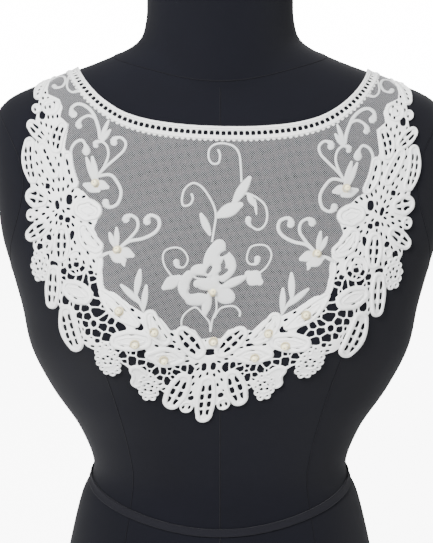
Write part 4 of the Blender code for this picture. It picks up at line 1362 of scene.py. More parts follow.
@dataclass
class DressForm:
    """The limbless form: cloth cover, seams and waist tape."""

    shape: FormShape
    shell: Shell
    seam_radius: float = 0.55
    seam_flatness: float = 0.6
    seam_sides: int = 6
    seam_spacing: float = 3.0
    neck_z: float = 557.0
    neck_rise: float = 14.0
    neck_dip: float = 22.0
    neck_points: int = 181
    side_seam_y: float = 4.0
    side_seam_top: float = 372.0
    armhole_middle: Point = (6.0, 442.0)
    armhole_size: Point = (60.0, 72.0)
    armhole_points: int = 121
    tape_z: float = 190.0
    tape_dip: float = 22.0
    tape_rise: float = 8.0
    tape_width: float = 6.0
    tape_wall: float = 1.2
    tape_segments: int = 240

    def build(self, shop: Workshop) -> None:
        """Build and dress every piece of the form.

        Args:
            shop: Where pieces are finished.
        """
        cloth = ClothFinish("form_jersey", (0.0024, 0.0026, 0.0052)).material()
        shop.piece("form_cover", self.cover(), cloth, ["dress_form"])
        welts = ClothFinish("form_seam_welt", (0.0021, 0.0021, 0.0040)).material()
        shop.piece("form_seams", self.seams(), welts)
        tape = ClothFinish("tape_cotton", (0.0062, 0.0062, 0.0090), grain=2200.0,
                           mottle=0.15).material()
        shop.piece("waist_tape_cloth", self.tape(), tape, ["waist_tape"])

    def cover(self) -> bpy.types.Mesh:
        """The fine cover with softened rims at the neck and the base.

        Returns:
            The mesh, in metres.
        """
        body = self.shape.body(4)
        ends = [f for f in body.faces if len(f.verts) > 4]
        rims = [edge for end in ends for edge in end.edges]
        bmesh.ops.bevel(body, geom=rims, offset=2.0, offset_type="OFFSET", segments=3,
                        profile=0.5, affect="EDGES", material=-1, clamp_overlap=True)
        bmesh.ops.scale(body, vec=(MM, MM, MM), verts=body.verts[:])
        return finished(body, "form_cover")

    def seam_lines(self) -> list[list[Vector]]:
        """The form's seams as lines on its surface.

        Returns:
            Each line's points, in millimetres.
        """
        traced = self.shell.traced
        lines = []
        panels = [[(side * x, z) for x, z in PANEL_SEAM] for side in (-1, 1)]
        for line in (CENTRE_SEAM, *panels):
            points = even_line(line, self.seam_spacing)
            for way in (-1, 1):
                lines.append(traced(((x, 0, z), (0, way, 0)) for x, z in points))
        for side in (-1, 1):
            heights = np.arange(self.seam_spacing, self.side_seam_top, self.seam_spacing)
            lines.append(traced(((0, self.side_seam_y, z), (side, 0, 0)) for z in heights))
            (y, z), (deep, high) = self.armhole_middle, self.armhole_size
            armhole = [(0, y + deep * math.cos(t), z + high * math.sin(t))
                       for t in np.linspace(0, 2 * math.pi, self.armhole_points)]
            lines.append(traced((spot, (side, 0, 0)) for spot in armhole))
        neck = []
        for t in np.linspace(0, 2 * math.pi, self.neck_points):
            swing = math.sin(t) * (self.neck_rise if math.sin(t) > 0 else self.neck_dip)
            neck.append(((0, 0, self.neck_z + swing), (math.cos(t), math.sin(t), 0)))
        lines.append(traced(neck))
        return lines

    def seams(self) -> bpy.types.Mesh:
        """Thin welts along the seams, half sunk in the cover.

        Returns:
            The mesh, in metres.
        """
        body = bmesh.new()
        turns = [2 * math.pi * c / self.seam_sides for c in range(self.seam_sides)]
        for line in self.seam_lines():
            rows = []
            for k, point in enumerate(line):
                way = (line[min(k + 1, len(line) - 1)] - line[max(k - 1, 0)]).normalized()
                out = Vector((point.x, point.y, 0)).normalized()
                beside = way.cross(out).normalized() * self.seam_radius
                out = beside.cross(way) * self.seam_flatness
                rows.append([(point + math.cos(turn) * beside + math.sin(turn) * out) * MM
                             for turn in turns])
            loft(body, rows)
        bmesh.ops.recalc_face_normals(body, faces=body.faces[:])
        return finished(body, "form_seams")

    def tape(self) -> bpy.types.Mesh:
        """The narrow tape round the waist with its two thick edges.

        Returns:
            The mesh, in metres.
        """
        rows = []
        for k in range(self.tape_segments):
            turn = 2 * math.pi * k / self.tape_segments
            deep = math.sin(turn)
            z = self.tape_z + (self.tape_rise * deep if deep > 0
                               else -self.tape_dip * (-deep) ** 1.5)
            way = Vector((math.cos(turn), math.sin(turn), 0))
            rows.append([(self.shell.hit((0, 0, z + up * self.tape_width), way)
                          + way * out * self.tape_wall) * MM for up, out in TAPE_PROFILE])
        body = bmesh.new()
        loft(body, rows, closed=True)
        bmesh.ops.recalc_face_normals(body, faces=body.faces[:])
        return finished(body, "waist_tape_cloth")


@dataclass
class GuipureBorder:
    """The openwork border: a worked ground, petals with satin rims, and rosettes."""

    step: float = 0.7
    low: float = 0.5
    ground: float = 1.15
    petal_height: float = 1.4
    rim_share: float = 0.10
    rim_height: float = 1.5
    rim_rise: float = 0.75
    shrink: float = 0.25
    bride: float = 1.05
    smallest_gap: float = 0.75
    largest_gap: float = 2.6
    gap_growth: float = 1.4
    lobe: float = 2.9
    lobe_pitch: float = 5.3
    close_gap: float = 1.2
    close_bar: float = 2.0
    cord_spacing: float = 0.5
    wheel: float = 3.7
    wheel_gap: Point = (2.8, 2.4)
    lobe_gap: float = 1.6
    slots_from: float = 0.2
    slots_to: float = 0.85
    slots_bow: float = 0.18
    cut_under: float = 0.3
    motif_bar: float = 0.15
    ring_half: float = 0.55
    close_shape: Point = (1.7, 3.2)
    sink_near: float = 20.0
    sink_from: float = 0.4
    sink_run: float = 1.2
    sink: float = 1.5
    lowest: float = 0.2
    flattest: float = 0.6
    midrib: float = 0.072
    contour: float = 0.345
    contour_half: float = 0.7
    wheel_rings: tuple[Point, ...] = ((1.7, 0.6), (5.7, 0.7))
    lobe_inset: float = 0.95
    lobe_half: float = 0.75
    edge_step: float = 0.25
    edge_round: float = 0.8
    petal_round: float = 1.2
    ring_inset: float = 0.9
    ring_share: float = 0.2
    double_over: float = 8.0
    inner_ring: float = 0.42
    inner_share: float = 0.8
    cords: CordMaker = CordMaker()

    def outline(self) -> Sheet:
        """The border's cut without its openings.

        Returns:
            The sheet.
        """
        sheet = Sheet(self.step)
        sheet.add_polygon(whole_edge(GROUND_EDGE, 1) + whole_edge(INNER_EDGE, -1))
        motifs = self.motifs(whole=True)
        sheet.field = np.minimum(sheet.field, motifs.field)
        sheet.field = np.maximum(sheet.field, sheet.y - NECK_EDGE[-1][1])
        sheet.along = motifs.along
        return sheet

    def motifs(self, whole: bool) -> Sheet:
        """The petals and rosettes alone.

        Args:
            whole: Whether the rosettes with an open wheel count as well.

        Returns:
            The sheet.
        """
        sheet = Sheet(self.step)
        for petal in both_sides(border_petals()):
            spine, radii = petal_spine(petal)
            if petal.fill is Fill.FLORET:
                for spot in self.lobes(petal):
                    sheet.add_disc(spot, self.lobe)
                radii = radii - self.lobe * 0.5
            sheet.add_chain(spine, radii - (0 if whole else self.shrink))
        for rosette in BORDER_ROSETTES:
            if not (whole or rosette.closed):
                continue
            for side in (1, -1):
                sheet.add_disc((side * rosette.x, rosette.y), rosette.radius)
        return sheet

    def lobes(self, petal: Petal) -> FloatArray:
        """The middles of the small loops round a floret.

        Args:
            petal: The floret.

        Returns:
            One point for each loop.
        """
        return petal_outline(petal, self.lobe, self.lobe_pitch)

    def slots(self, petal: Petal) -> list[Opening]:
        """The slots worked inside a petal.

        Args:
            petal: The petal.

        Returns:
            The slots as openings of the pattern.
        """
        root, way, beside, length = petal.axes()
        turn = math.degrees(math.atan2(-way[0], way[1]))
        found = []
        if petal.fill is Fill.FLORET:
            for angle in 2 * math.pi * (np.arange(5) + 0.3) / 5:
                spoke = self.wheel * np.array((math.cos(angle), math.sin(angle)))
                spot = root + way * length / 2 + spoke
                found.append(Opening(*spot, *self.wheel_gap, math.degrees(angle)))
            gap = self.lobe_gap
            return found + [Opening(x, y, gap, gap) for x, y in self.lobes(petal)]
        if petal.fill not in SLOT_PLANS:
            return found
        plan = SLOT_PLANS[petal.fill]
        start, end = self.slots_from * length, self.slots_to * length
        count = max(round((end - start + plan.bar) / (plan.length + plan.bar)), 1)
        long = (end - start + plan.bar) / count - plan.bar
        wide = plan.share * petal.width + plan.extra
        for row in plan.rows:
            for k in range(count):
                run = start + long / 2 + k * (long + plan.bar)
                swing = math.sin(math.pi * run / length)
                bow = 1 - self.slots_bow + self.slots_bow * swing
                aside = row * petal.width * bow + petal.bulge * swing
                found.append(Opening(*(root + way * run + beside * aside), wide, long, turn))
        return found

    def holes(self, outline: Sheet) -> Sheet:
        """Every gap of the border; a petal that lies on top closes the slots under it.

        Args:
            outline: The border's cut.

        Returns:
            The sheet.
        """
        slots = Sheet(self.step)
        for petal in border_petals():
            pair = both_sides([petal])
            body = Sheet(self.step)
            for twin in pair:
                body.add_chain(*petal_spine(twin))
            slots.cut(body, self.cut_under)
            for twin in pair:
                for slot in self.slots(twin):
                    slots.add_opening(slot, self.bride)
        for rosette in BORDER_ROSETTES:
            for opening in BORDER_OPENINGS:
                near = math.dist((opening.x, opening.y), (rosette.x, rosette.y))
                if rosette.closed and near < rosette.radius / 2:
                    slots.add_opening(opening, self.bride)
        slots.field = np.minimum(slots.field, self.worked_ground(outline, slots))
        return slots

    def worked_ground(self, outline: Sheet, slots: Sheet) -> FloatArray:
        """Part the ground into gaps with a straight bride between each two neighbours.

        Args:
            outline: The border's cut.
            slots: The slots of the petals.

        Returns:
            The distance to the nearest gap, negative inside.
        """
        rings, worked = Sheet(self.step), Sheet(self.step)
        for side in (1, -1):
            worked.add_chain([(side * x, y) for (x, y), _ in OPEN_GROUND],
                             [radius for _, radius in OPEN_GROUND])
            for rosette in BORDER_ROSETTES:
                if rosette.ringed:
                    spot = (side * rosette.x, rosette.y)
                    line = self.circle(spot, rosette.radius - self.ring_inset)
                    halves = [self.ring_half] * (len(line) + 1)
                    rings.add_chain(np.vstack([line, line[:1]]), halves)
        motifs = self.motifs(whole=False)
        motifs.field = np.minimum(motifs.field, rings.field) - self.motif_bar
        room = np.minimum(-outline.field, slots.field) - self.bride
        room = np.minimum(room, motifs.field)
        x, y = outline.x, outline.y
        seeds = []
        free = room.copy()
        for side in (1, -1):
            for opening in BORDER_OPENINGS:
                if side > 0 or opening.x:
                    seeds.append(opening._replace(x=side * opening.x, turn=side * opening.turn))
                    free = np.minimum(free, seeds[-1].away(x, y) - self.bride)
        close = worked.field > 0
        while True:
            size = np.where(close, np.minimum(free, self.close_gap), free)
            i, j = np.unravel_index(int(np.argmax(size)), size.shape)
            radius = min(float(size[i, j]), self.largest_gap)
            if radius < self.smallest_gap:
                break
            spot = (float(outline.xs[i]), float(outline.ys[j]))
            if close[i, j]:
                core = min(FLOWER_CORES, key=lambda c: math.dist(c, spot))
                turn = math.degrees(math.atan2(core[0] - spot[0], spot[1] - core[1]))
                wide, high = self.close_shape
                seeds.append(Opening(*spot, wide * radius, high * radius, turn))
            else:
                seeds.append(Opening(*spot, 2 * radius, 2 * radius))
            bar = self.close_bar if close[i, j] else self.bride
            free = np.minimum(free, seeds[-1].away(x, y) - bar)
        nearest = np.full(room.shape, Sheet.REACH)
        second = np.full(room.shape, Sheet.REACH)
        for seed in seeds:
            part = outline.window([(seed.x, seed.y)], max(seed.width, seed.height) / 2)
            away = seed.away(x[part], y[part])
            second[part] = np.minimum(second[part], np.maximum(away, nearest[part]))
            nearest[part] = np.minimum(nearest[part], away)
        LOG.info("worked ground: %d gaps", len(seeds))
        wall = self.bride / 2 - (second - nearest) / 2
        grown = nearest - np.where(close, 0.0, self.gap_growth)
        return np.maximum(np.maximum(wall, grown), -room)

    def sunk(self, line: FloatArray, over: Sequence[Petal]) -> FloatArray:
        """The height along a cord, which dips under the petals that lie over it.

        Args:
            line: The cord's points.
            over: The petals that lie over it.

        Returns:
            The height at each point.
        """
        heights = np.full(len(line), self.rim_height)
        low, high = line.min(0) - self.sink_near, line.max(0) + self.sink_near
        for petal in over:
            spots = ((petal.root_x, petal.root_y), (petal.tip_x, petal.tip_y))
            if any(low[0] < x < high[0] and low[1] < y < high[1] for x, y in spots):
                deep = (-petal_distance(petal, line) - self.sink_from) / self.sink_run
                heights -= np.clip(deep, 0, 1) * self.sink
        return np.maximum(heights, self.lowest)

    def build(self, shop: Workshop) -> None:
        """Build the border and its cords.

        Args:
            shop: Where pieces are finished.
        """
        thread = ThreadFinish("guipure_satin", (0.93, 0.935, 0.93)).material()
        outline, motifs = self.outline(), self.motifs(whole=False)
        area, size = outline.area(), outline.size()
        outline.cut(self.holes(outline))

        def high(x: FloatArray, y: FloatArray) -> FloatArray:
            deep = np.clip(-outline.value(x, y) / self.edge_round, 0, 1)
            raised = np.clip(-motifs.value(x, y) / self.petal_round, 0, 1)
            top = self.ground + (self.petal_height - self.ground) * raised
            edge = self.low + self.edge_step
            return edge + (top - edge) * np.sqrt(1 - (1 - deep) ** 2)

        body = shop.draped("guipure_lace", plate(outline, self.low, high), thread,
                           ["guipure_border"])
        for side, word in ((1, "left"), (-1, "right")):
            parts = self.rims(side)
            shop.draped(f"guipure_rims_{word}", FlatMesh.joined(parts), thread)

    def laid(self, line: FloatArray, half: float, over: Sequence[Petal],
             flatness: float | None = None) -> FlatMesh:
        """A closed cord that dips under the petals that lie over it.

        Args:
            line: The cord's points.
            half: Half of its width.
            over: The petals that lie over it.
            flatness: Its thickness as a share of its width.

        Returns:
            The cord's flat mesh.
        """
        return self.cords.tube(line, half, self.sunk(line, over), True, flatness)

    def rims(self, side: int) -> list[FlatMesh]:
        """The cords of one half.

        Args:
            side: 1 or -1.

        Returns:
            The cords' flat meshes.
        """
        petals = [p if side > 0 else mirror_petal(p) for p in border_petals()]
        parts = []
        for k, petal in enumerate(petals):
            if petal.root_x == 0 and side < 0:
                continue
            over = petals[k + 1:]
            radius = petal.width * self.rim_share
            flat = self.rim_rise / radius
            line = petal_outline(petal, radius + self.shrink, self.cord_spacing)
            if petal.fill is not Fill.FLORET:
                parts.append(self.laid(line, radius, over, min(flat, self.flattest)))
            if petal.fill is Fill.LADDER:
                spine = even_line(petal_spine(petal, FINE_SPINE)[0][1:-2], self.cord_spacing)
                parts.append(self.cords.tube(spine, self.midrib * petal.width,
                                             self.sunk(spine, over) - self.motif_bar))
            if petal.fill is Fill.CONTOUR:
                line = petal_outline(petal, petal.width * self.contour, self.cord_spacing)
                parts.append(self.laid(line, self.contour_half, over))
            if petal.fill is Fill.FLORET:
                middle = ((petal.root_x + petal.tip_x) / 2, (petal.root_y + petal.tip_y) / 2)
                for radius, thick in self.wheel_rings:
                    parts.append(self.ring(middle, radius, thick))
                for spot in self.lobes(petal):
                    line = self.circle(spot, self.lobe - self.lobe_inset)
                    parts.append(self.laid(line, self.lobe_half, over))
        for rosette in BORDER_ROSETTES:
            if not rosette.ringed:
                continue
            spot = (side * rosette.x, rosette.y)
            rim = min(self.ring_inset, rosette.radius * self.ring_share)
            parts.append(self.ring(spot, rosette.radius - self.ring_inset, rim))
            if rosette.radius > self.double_over:
                inner = rosette.radius * self.inner_ring
                parts.append(self.ring(spot, inner, rim * self.inner_share))
        return parts

    def circle(self, middle: Sequence[float], radius: float) -> FloatArray:
        """Points round a circle.

        Args:
            middle: Its middle.
            radius: Its radius.

        Returns:
            The points, without a second one at the start.
        """
        count = max(int(radius * 2 * math.pi / self.cord_spacing), 16)
        turn = np.linspace(0, 2 * math.pi, count, endpoint=False)
        return np.array(middle) + radius * np.stack([np.cos(turn), np.sin(turn)], 1)

    def ring(self, middle: Sequence[float], radius: float, thick: float) -> FlatMesh:
        """A round cord.

        Args:
            middle: Its middle.
            radius: The radius of its centre line.
            thick: Half of the cord's width.

        Returns:
            The cord's flat mesh.
        """
        return self.cords.tube(self.circle(middle, radius), thick, self.rim_height, closed=True)


@dataclass
class NeckBand:
    """The ladder-stitched band along the neck, with its rails and its row of beads."""

    width: float = 11.0
    step: float = 0.7
    low: float = 0.6
    ladder_pitch: float = 4.7
    hole_width: float = 3.4
    hole_height: float = 4.0
    rail_radius: float = 1.2
    rail_height: float = 1.9
    rail_inset: float = 0.2
    thin_place: float = 2.5
    rail_spacing: float = 0.6
    line_spacing: float = 0.5
    end_room: float = 3.0
    ladder_bar: float = 1.0
    bead_offset: float = 0.35
    thin_rail: float = 0.65
    bead_pitch: float = 4.5
    bead_length: float = 2.6
    bead_height: float = 1.6
    edge_step: float = 0.3
    swell: float = 0.9
    cords: CordMaker = CordMaker()

    @staticmethod
    def curve(offset: float, spacing: float) -> FloatArray:
        """The neck edge from shoulder to shoulder, moved down by an offset.

        Args:
            offset: How far below the neck edge, in millimetres.
            spacing: The distance between two points.

        Returns:
            The points of the line.
        """
        half = even_line(NECK_EDGE, spacing)
        whole = np.vstack([half[:0:-1] * (-1, 1), half])
        return whole - left_of(ways_along(whole)) * offset

    def sheet(self, step: float) -> Sheet:
        """The band's flat cut.

        Args:
            step: The sheet's step.

        Returns:
            The sheet.
        """
        sheet = Sheet(step)
        upper = [tuple(p) for p in self.curve(0.0, EDGE_SPACING)]
        lower = [tuple(p) for p in self.curve(self.width, EDGE_SPACING)]
        sheet.add_polygon(upper + lower[::-1])
        return sheet

    def build(self, shop: Workshop) -> None:
        """Build the band with its ladder holes, rails and beads.

        Args:
            shop: Where pieces are finished.
        """
        thread = ThreadFinish("band_satin", (0.86, 0.865, 0.85)).material()
        sheet = self.sheet(self.step)
        area = sheet.area()
        middle = self.curve(self.width / 2, self.line_spacing)
        holes = Sheet(self.step)
        last = run_along(middle)[-1] + 1 - self.end_room
        for run in np.arange(self.end_room, last, self.ladder_pitch):
            spot, ahead = spots_along(middle, np.array((run, run + 1)))
            turn = math.degrees(math.atan2(ahead[1] - spot[1], ahead[0] - spot[0]))
            hole = Opening(*spot, self.hole_width, self.hole_height, turn)
            holes.add_opening(hole, self.ladder_bar)
        sheet.cut(holes)

        def high(x: FloatArray, y: FloatArray) -> FloatArray:
            deep = np.clip(-sheet.value(x, y) / self.swell, 0, 1)
            return self.low + self.edge_step + self.swell * np.sqrt(1 - (1 - deep) ** 2)

        body = shop.draped("neck_band_lace", plate(sheet, self.low, high), thread,
                           ["neck_band"])
        rails = ((self.rail_radius, self.rail_radius),
                 (self.width - self.rail_radius - self.rail_inset, self.rail_radius),
                 (self.width / 2 - self.thin_place, self.thin_rail),
                 (self.width / 2 + self.thin_place, self.thin_rail))
        parts = [self.cords.tube(self.curve(offset, self.rail_spacing), radius, self.rail_height)
                 for offset, radius in rails]
        edge = self.curve(self.width + self.bead_offset, self.line_spacing)
        length = float(run_along(edge)[-1])
        swell = np.array((0.5, 0.9, 1.05, 1.05, 0.9, 0.5))
        for run in np.arange(self.end_room, length - self.end_room, self.bead_pitch):
            line = spots_along(edge, run + np.linspace(0, self.bead_length, len(swell)))
            parts.append(self.cords.tube(line, swell, self.bead_height))
        rails = shop.draped("neck_band_rails", FlatMesh.joined(parts), thread)


@dataclass
class NetInsert:
    """The sheer net: real threads that cross at a slant, over and under."""

    pitch: float = 1.25
    thread: float = 0.238
    height: float = 1.05
    weave: float = 0.10
    sheet_step: float = 1.0
    tuck: float = 0.5
    reach: float = 300.0

    def sheet(self) -> Sheet:
        """The net's flat cut, which tucks a little under the lace.

        Returns:
            The sheet.
        """
        sheet = Sheet(self.sheet_step)
        top = [tuple(p) for p in NeckBand.curve(NeckBand.width - self.tuck, EDGE_SPACING)][::-1]
        sheet.add_polygon(whole_edge(INNER_EDGE, -1) + top)
        return sheet

    def threads(self, sheet: Sheet, lean: int, side: int) -> FlatMesh:
        """The threads that run one way on one side of the centre front.

        Args:
            sheet: The net's cut.
            lean: 1 for threads that rise to the right, -1 for the others.
            side: 1 for the side with positive x, -1 for the other.

        Returns:
            Their flat mesh.
        """
        reach = int(self.reach / self.pitch)
        i, j = np.meshgrid(np.arange(-reach, reach), np.arange(-reach, reach), indexing="ij")
        slant = self.pitch / math.sqrt(2)
        x, y = (i + j) * slant, (j - i) * slant * lean
        here = (np.abs(x) < Sheet.HALF_WIDTH) & (y > Sheet.LOW) & (y < Sheet.HIGH)
        here[here] = sheet.value(x[here], y[here]) < self.tuck
        middle = x[:, :-1] + slant / 2
        joined = here[:, :-1] & here[:, 1:] & (middle * side > 0)
        used = np.zeros(here.shape, bool)
        used[:, :-1] |= joined
        used[:, 1:] |= joined
        number = np.cumsum(used.ravel()).reshape(used.shape) - 1
        over = np.where((i + j) % 2 == 0, 1.0, -1.0) * lean
        half = self.thread / 2
        way = np.array((1.0, lean)) / math.sqrt(2)
        beside = np.array((-way[1], way[0])) * half
        rows = [np.stack([x[used] + across * beside[0], y[used] + across * beside[1],
                          self.height + over[used] * self.weave + up * half], 1)
                for across, up in ((-1, -1), (1, -1), (1, 1), (-1, 1))]
        points = np.stack(rows, 1).reshape(-1, 3)
        a, b = number[:, :-1][joined] * 4, number[:, 1:][joined] * 4
        faces: list[tuple[int, ...]] = []
        for c in range(4):
            d = (c + 1) % 4
            faces += [tuple(f) for f in np.stack([a + c, b + c, b + d, a + d], 1).tolist()]
        return FlatMesh(points, faces, np.zeros(len(points)))

    def build(self, shop: Workshop) -> None:
        """Build both halves of the net.

        Args:
            shop: Where pieces are finished.
        """
        material = PlainFinish("tulle_thread", (0.28, 0.28, 0.29), 0.7).material()
        sheet = self.sheet()
        for side, word in ((1, "left"), (-1, "right")):
            half = Sheet(sheet.step)
            half.field = np.maximum(sheet.field, -side * sheet.x)
            parts = [self.threads(sheet, lean, side) for lean in (1, -1)]
            net = shop.draped(f"net_tulle_{word}", FlatMesh.joined(parts), material,
                              ["net_insert"])
            half.size()


@dataclass
class Embroidery:
    """The raised flowers, scrolls and leaves worked on the net in satin stitch."""

    spacing: float = 0.36
    seat: float = 1.45
    rise: float = 0.95
    rib: float = 1.44
    rib_depth: float = 0.12
    deepest_rib: float = 0.32
    slim: float = 0.85
    knob_start: float = 10.0
    knob_reach: float = 7.0
    flower_step: float = 0.45
    flower_low: float = 0.9
    flower_rise: float = 1.35
    flower_edge: float = 0.2
    flower_dome: float = 0.32
    slit_round: float = 1.2
    dome_ribs: float = 0.05
    lap: float = 0.12
    leaf_groove: float = 0.45
    leaf_lift: float = 0.03
    scroll_flattest: float = 0.6
    leaf_flattest: float = 0.45
    blunt_end: float = 0.003

    def ribbed(self, run: FloatArray, radii: FloatArray) -> FloatArray:
        """Half widths with the ribs that groups of stitches make.

        Args:
            run: The distance along the line.
            radii: The plain half widths.

        Returns:
            The ribbed half widths.
        """
        depth = np.minimum(self.rib_depth * radii, self.deepest_rib)
        return radii + depth * np.sin(2 * math.pi * run / self.rib)

    def scroll(self, cord: Cord, side: int) -> FlatMesh:
        """A stem or scroll.

        Args:
            cord: The cord.
            side: 1, or -1 for the mirror image.

        Returns:
            Its flat mesh.
        """
        line = even_line([(side * x, y) for x, y in cord.points], self.spacing)
        run = np.arange(len(line)) * self.spacing
        left = run[-1] - run
        knob = np.clip((self.knob_start - left) / self.knob_reach, 0, 1)
        radii = (cord.width * self.slim + (cord.end_width - cord.width * self.slim)
                 * knob * knob * (3 - 2 * knob)) / 2
        round_off = np.clip(1 - (1 - np.clip(left / radii[-1], 0, 1)) ** 2, self.blunt_end, 1)
        radii = self.ribbed(run, radii) * np.sqrt(round_off)
        maker = CordMaker(sides=8, ridge=0.0)
        flatness = min(self.scroll_flattest, self.rise / radii.max())
        return maker.tube(line, radii, self.seat, flatness=flatness)

    def leaf(self, petal: Petal, level: int) -> FlatMesh:
        """A petal or leaf, domed and stitched across.

        Args:
            petal: The petal.
            level: How many leaves lie under it, which lifts it a little.

        Returns:
            Its flat mesh.
        """
        root, way, beside, length = petal.axes()
        t = np.linspace(0, 1, max(int(length / self.spacing), 12))
        line = root + way * (t * length)[:, None]
        line = line + beside * (petal.bulge * np.sin(np.pi * t))[:, None]
        end = petal.blunt * petal.width / 2
        along = np.clip((t * length - end) / (length - 2 * end), 0, 1)
        radii = petal.width / 2 * (petal.blunt + (1 - petal.blunt) * np.sin(np.pi * along))
        near_end = np.minimum(t, 1 - t) * length
        cap = np.clip(1 - (1 - np.clip(near_end / end, 0, 1)) ** 2, self.blunt_end, 1)
        radii = self.ribbed(t * length, radii * np.sqrt(cap))
        maker = CordMaker(sides=12, ridge=0.0, groove=self.leaf_groove)
        lift = self.seat + self.leaf_lift * (level % 5)
        flatness = min(self.leaf_flattest, self.rise / radii.max())
        return maker.tube(line, radii, lift, flatness=flatness)

    def flower(self) -> FlatMesh:
        """The large flower: lapping domed petals with slits between them.

        Returns:
            Its flat mesh.
        """
        whole = Sheet(self.flower_step)
        domes = np.zeros(whole.x.shape)
        for level, petal in enumerate(FLOWER_PETALS):
            one = Sheet(self.flower_step)
            one.add_chain(*petal_spine(petal, FINE_SPINE))
            ribs = np.sin(2 * math.pi * one.along / self.rib)
            one.field = one.field - self.deepest_rib / 2 * ribs
            deep = np.clip(-one.field / (self.flower_dome * petal.width), 0, 1)
            dome = np.sqrt(1 - (1 - deep) ** 2) * (1 + self.lap * (level % 3))
            domes = np.maximum(domes, dome * (1 + self.dome_ribs * ribs))
            nearer = one.field < whole.field
            whole.along = np.where(nearer, one.along, whole.along)
            whole.field = np.minimum(whole.field, one.field)
        for slit in FLOWER_SLITS:
            gap = slit.away(whole.x, whole.y)
            whole.field = np.maximum(whole.field, -gap)
            domes = domes * np.sqrt(np.clip(gap / self.slit_round, 0, 1))

        def high(x: FloatArray, y: FloatArray) -> FloatArray:
            edge = self.flower_low + self.flower_edge
            return edge + self.flower_rise * whole.value(x, y, domes)

        return plate(whole, self.flower_low, high, closed=True)

    def build(self, shop: Workshop) -> None:
        """Build every spray.

        Args:
            shop: Where pieces are finished.
        """
        thread = ThreadFinish("embroidery_satin", (0.62, 0.63, 0.63)).material()
        sprays: list[tuple[str, Sequence[Cord], Sequence[Petal], int]] = [
            ("centre_spray", CENTRE_CORDS, CENTRE_PETALS, 1)]
        for side, word in ((-1, "right"), (1, "left")):
            sprays.append((f"lower_spray_{word}", LOWER_SPRAY_CORDS, LOWER_SPRAY_PETALS, side))
            sprays.append((f"upper_spray_{word}", UPPER_SPRAY_CORDS, UPPER_SPRAY_PETALS, side))
            sprays.append((f"sprig_{word}", (), SPRIG_PETALS, side))
        for name, cords, petals, side in sprays:
            parts = [self.scroll(cord, side) for cord in cords]
            turned = [petal if side > 0 else mirror_petal(petal) for petal in petals]
            parts += [self.leaf(petal, k) for k, petal in enumerate(turned)]
            if name == "centre_spray":
                parts.append(self.flower())
            shop.draped(f"{name}_stitched", FlatMesh.joined(parts), thread,
                        [name])


@dataclass
class Pearls:
    """Cream pearls sewn on through a hole in the middle, each in a beige thread ring that paints the
    pearl's shadow and its warm reflection on the lace.
    """

    radius: float = 2.45
    seat: float = 1.9
    bore: float = 0.7
    lip: float = 0.3
    steps: int = 20
    # The ring round each pearl is painted shadow and reflection: a beige thread ring that stands in
    # for the pearl's shadow and the warm light it throws on the lace.
    painted_halo: float = 3.0
    painted_halo_half: float = 0.8
    painted_halo_points: int = 28
    knot_half: float = 0.4
    rows: int = 15
    mouth: float = 0.9
    painted_halo_drop: float = 0.1
    knot_drop: float = 0.2

    def bead(self, body: bmesh.types.BMesh, place: Matrix) -> None:
        """Add one pearl with the mouth of its bore on top.

        Args:
            body: The mesh to add it to.
            place: Where its middle is, in metres.
        """
        low = math.asin(self.bore / self.radius)
        angles = np.linspace(low, math.pi - low, self.rows)
        rows = [(self.radius * math.sin(a), self.radius * math.cos(a)) for a in angles]
        rows = [(self.bore * self.mouth, rows[0][1] - self.lip)] + rows
        verts = [body.verts.new(place @ Vector((r * MM, 0, z * MM))) for r, z in rows]
        edges = [body.edges.new(pair) for pair in zip(verts, verts[1:])]
        axis = (place.to_3x3() @ Vector((0, 0, 1))).normalized()
        bmesh.ops.spin(body, geom=verts + edges, cent=place.translation, axis=axis,
                       angle=2 * math.pi, steps=self.steps, use_merge=True)

    def build(self, shop: Workshop) -> None:
        """Build the pearls.

        Args:
            shop: Where pieces are finished.
        """
        gloss = PlainFinish("pearl_cream", (0.98, 0.89, 0.55), 0.2, 0.6).material()
        # This beige thread colour is also the painted shadow and reflection of the ring round each
        # pearl.
        thread = ThreadFinish("pearl_thread_and_painted_halo", (0.58, 0.51, 0.33)).material()
        turn = np.linspace(0, 2 * math.pi, self.painted_halo_points, endpoint=False)
        ring = self.painted_halo * np.stack([np.cos(turn), np.sin(turn)], 1)
        knot = np.array([(-self.knot_half, 0), (0, 0), (self.knot_half, 0)])
        top = self.seat + self.radius + math.sqrt(self.radius**2 - self.bore**2) - self.lip
        maker = CordMaker(sides=8)
        sewing_and_painted_halo = []
        for spot in PEARLS:
            # Painted shadow and reflection: a beige thread ring round each pearl stands in for its
            # shadow and the warm light it throws on the lace; the knot below is the thread in its
            # bore.
            sewing_and_painted_halo.append(maker.tube(ring + spot, self.painted_halo_half,
                                     self.seat - self.painted_halo_drop, closed=True))
            sewing_and_painted_halo.append(maker.tube(knot + spot, self.bore, top - self.knot_drop))
        shop.draped("pearl_sewing", FlatMesh.joined(sewing_and_painted_halo), thread)
        body = bmesh.new()
        for x, y in PEARLS:
            spots = np.array([(x, y, self.seat), (x, y, self.seat + self.radius)])
            low, middle = (Vector(p) for p in shop.drape.at(spots))
            tilt = Vector((0, 0, 1)).rotation_difference(middle - low).to_matrix().to_4x4()
            self.bead(body, Matrix.Translation(middle * MM) @ tilt)
        bmesh.ops.recalc_face_normals(body, faces=body.faces[:])
        shop.piece("pearls", finished(body, "pearls"), gloss)


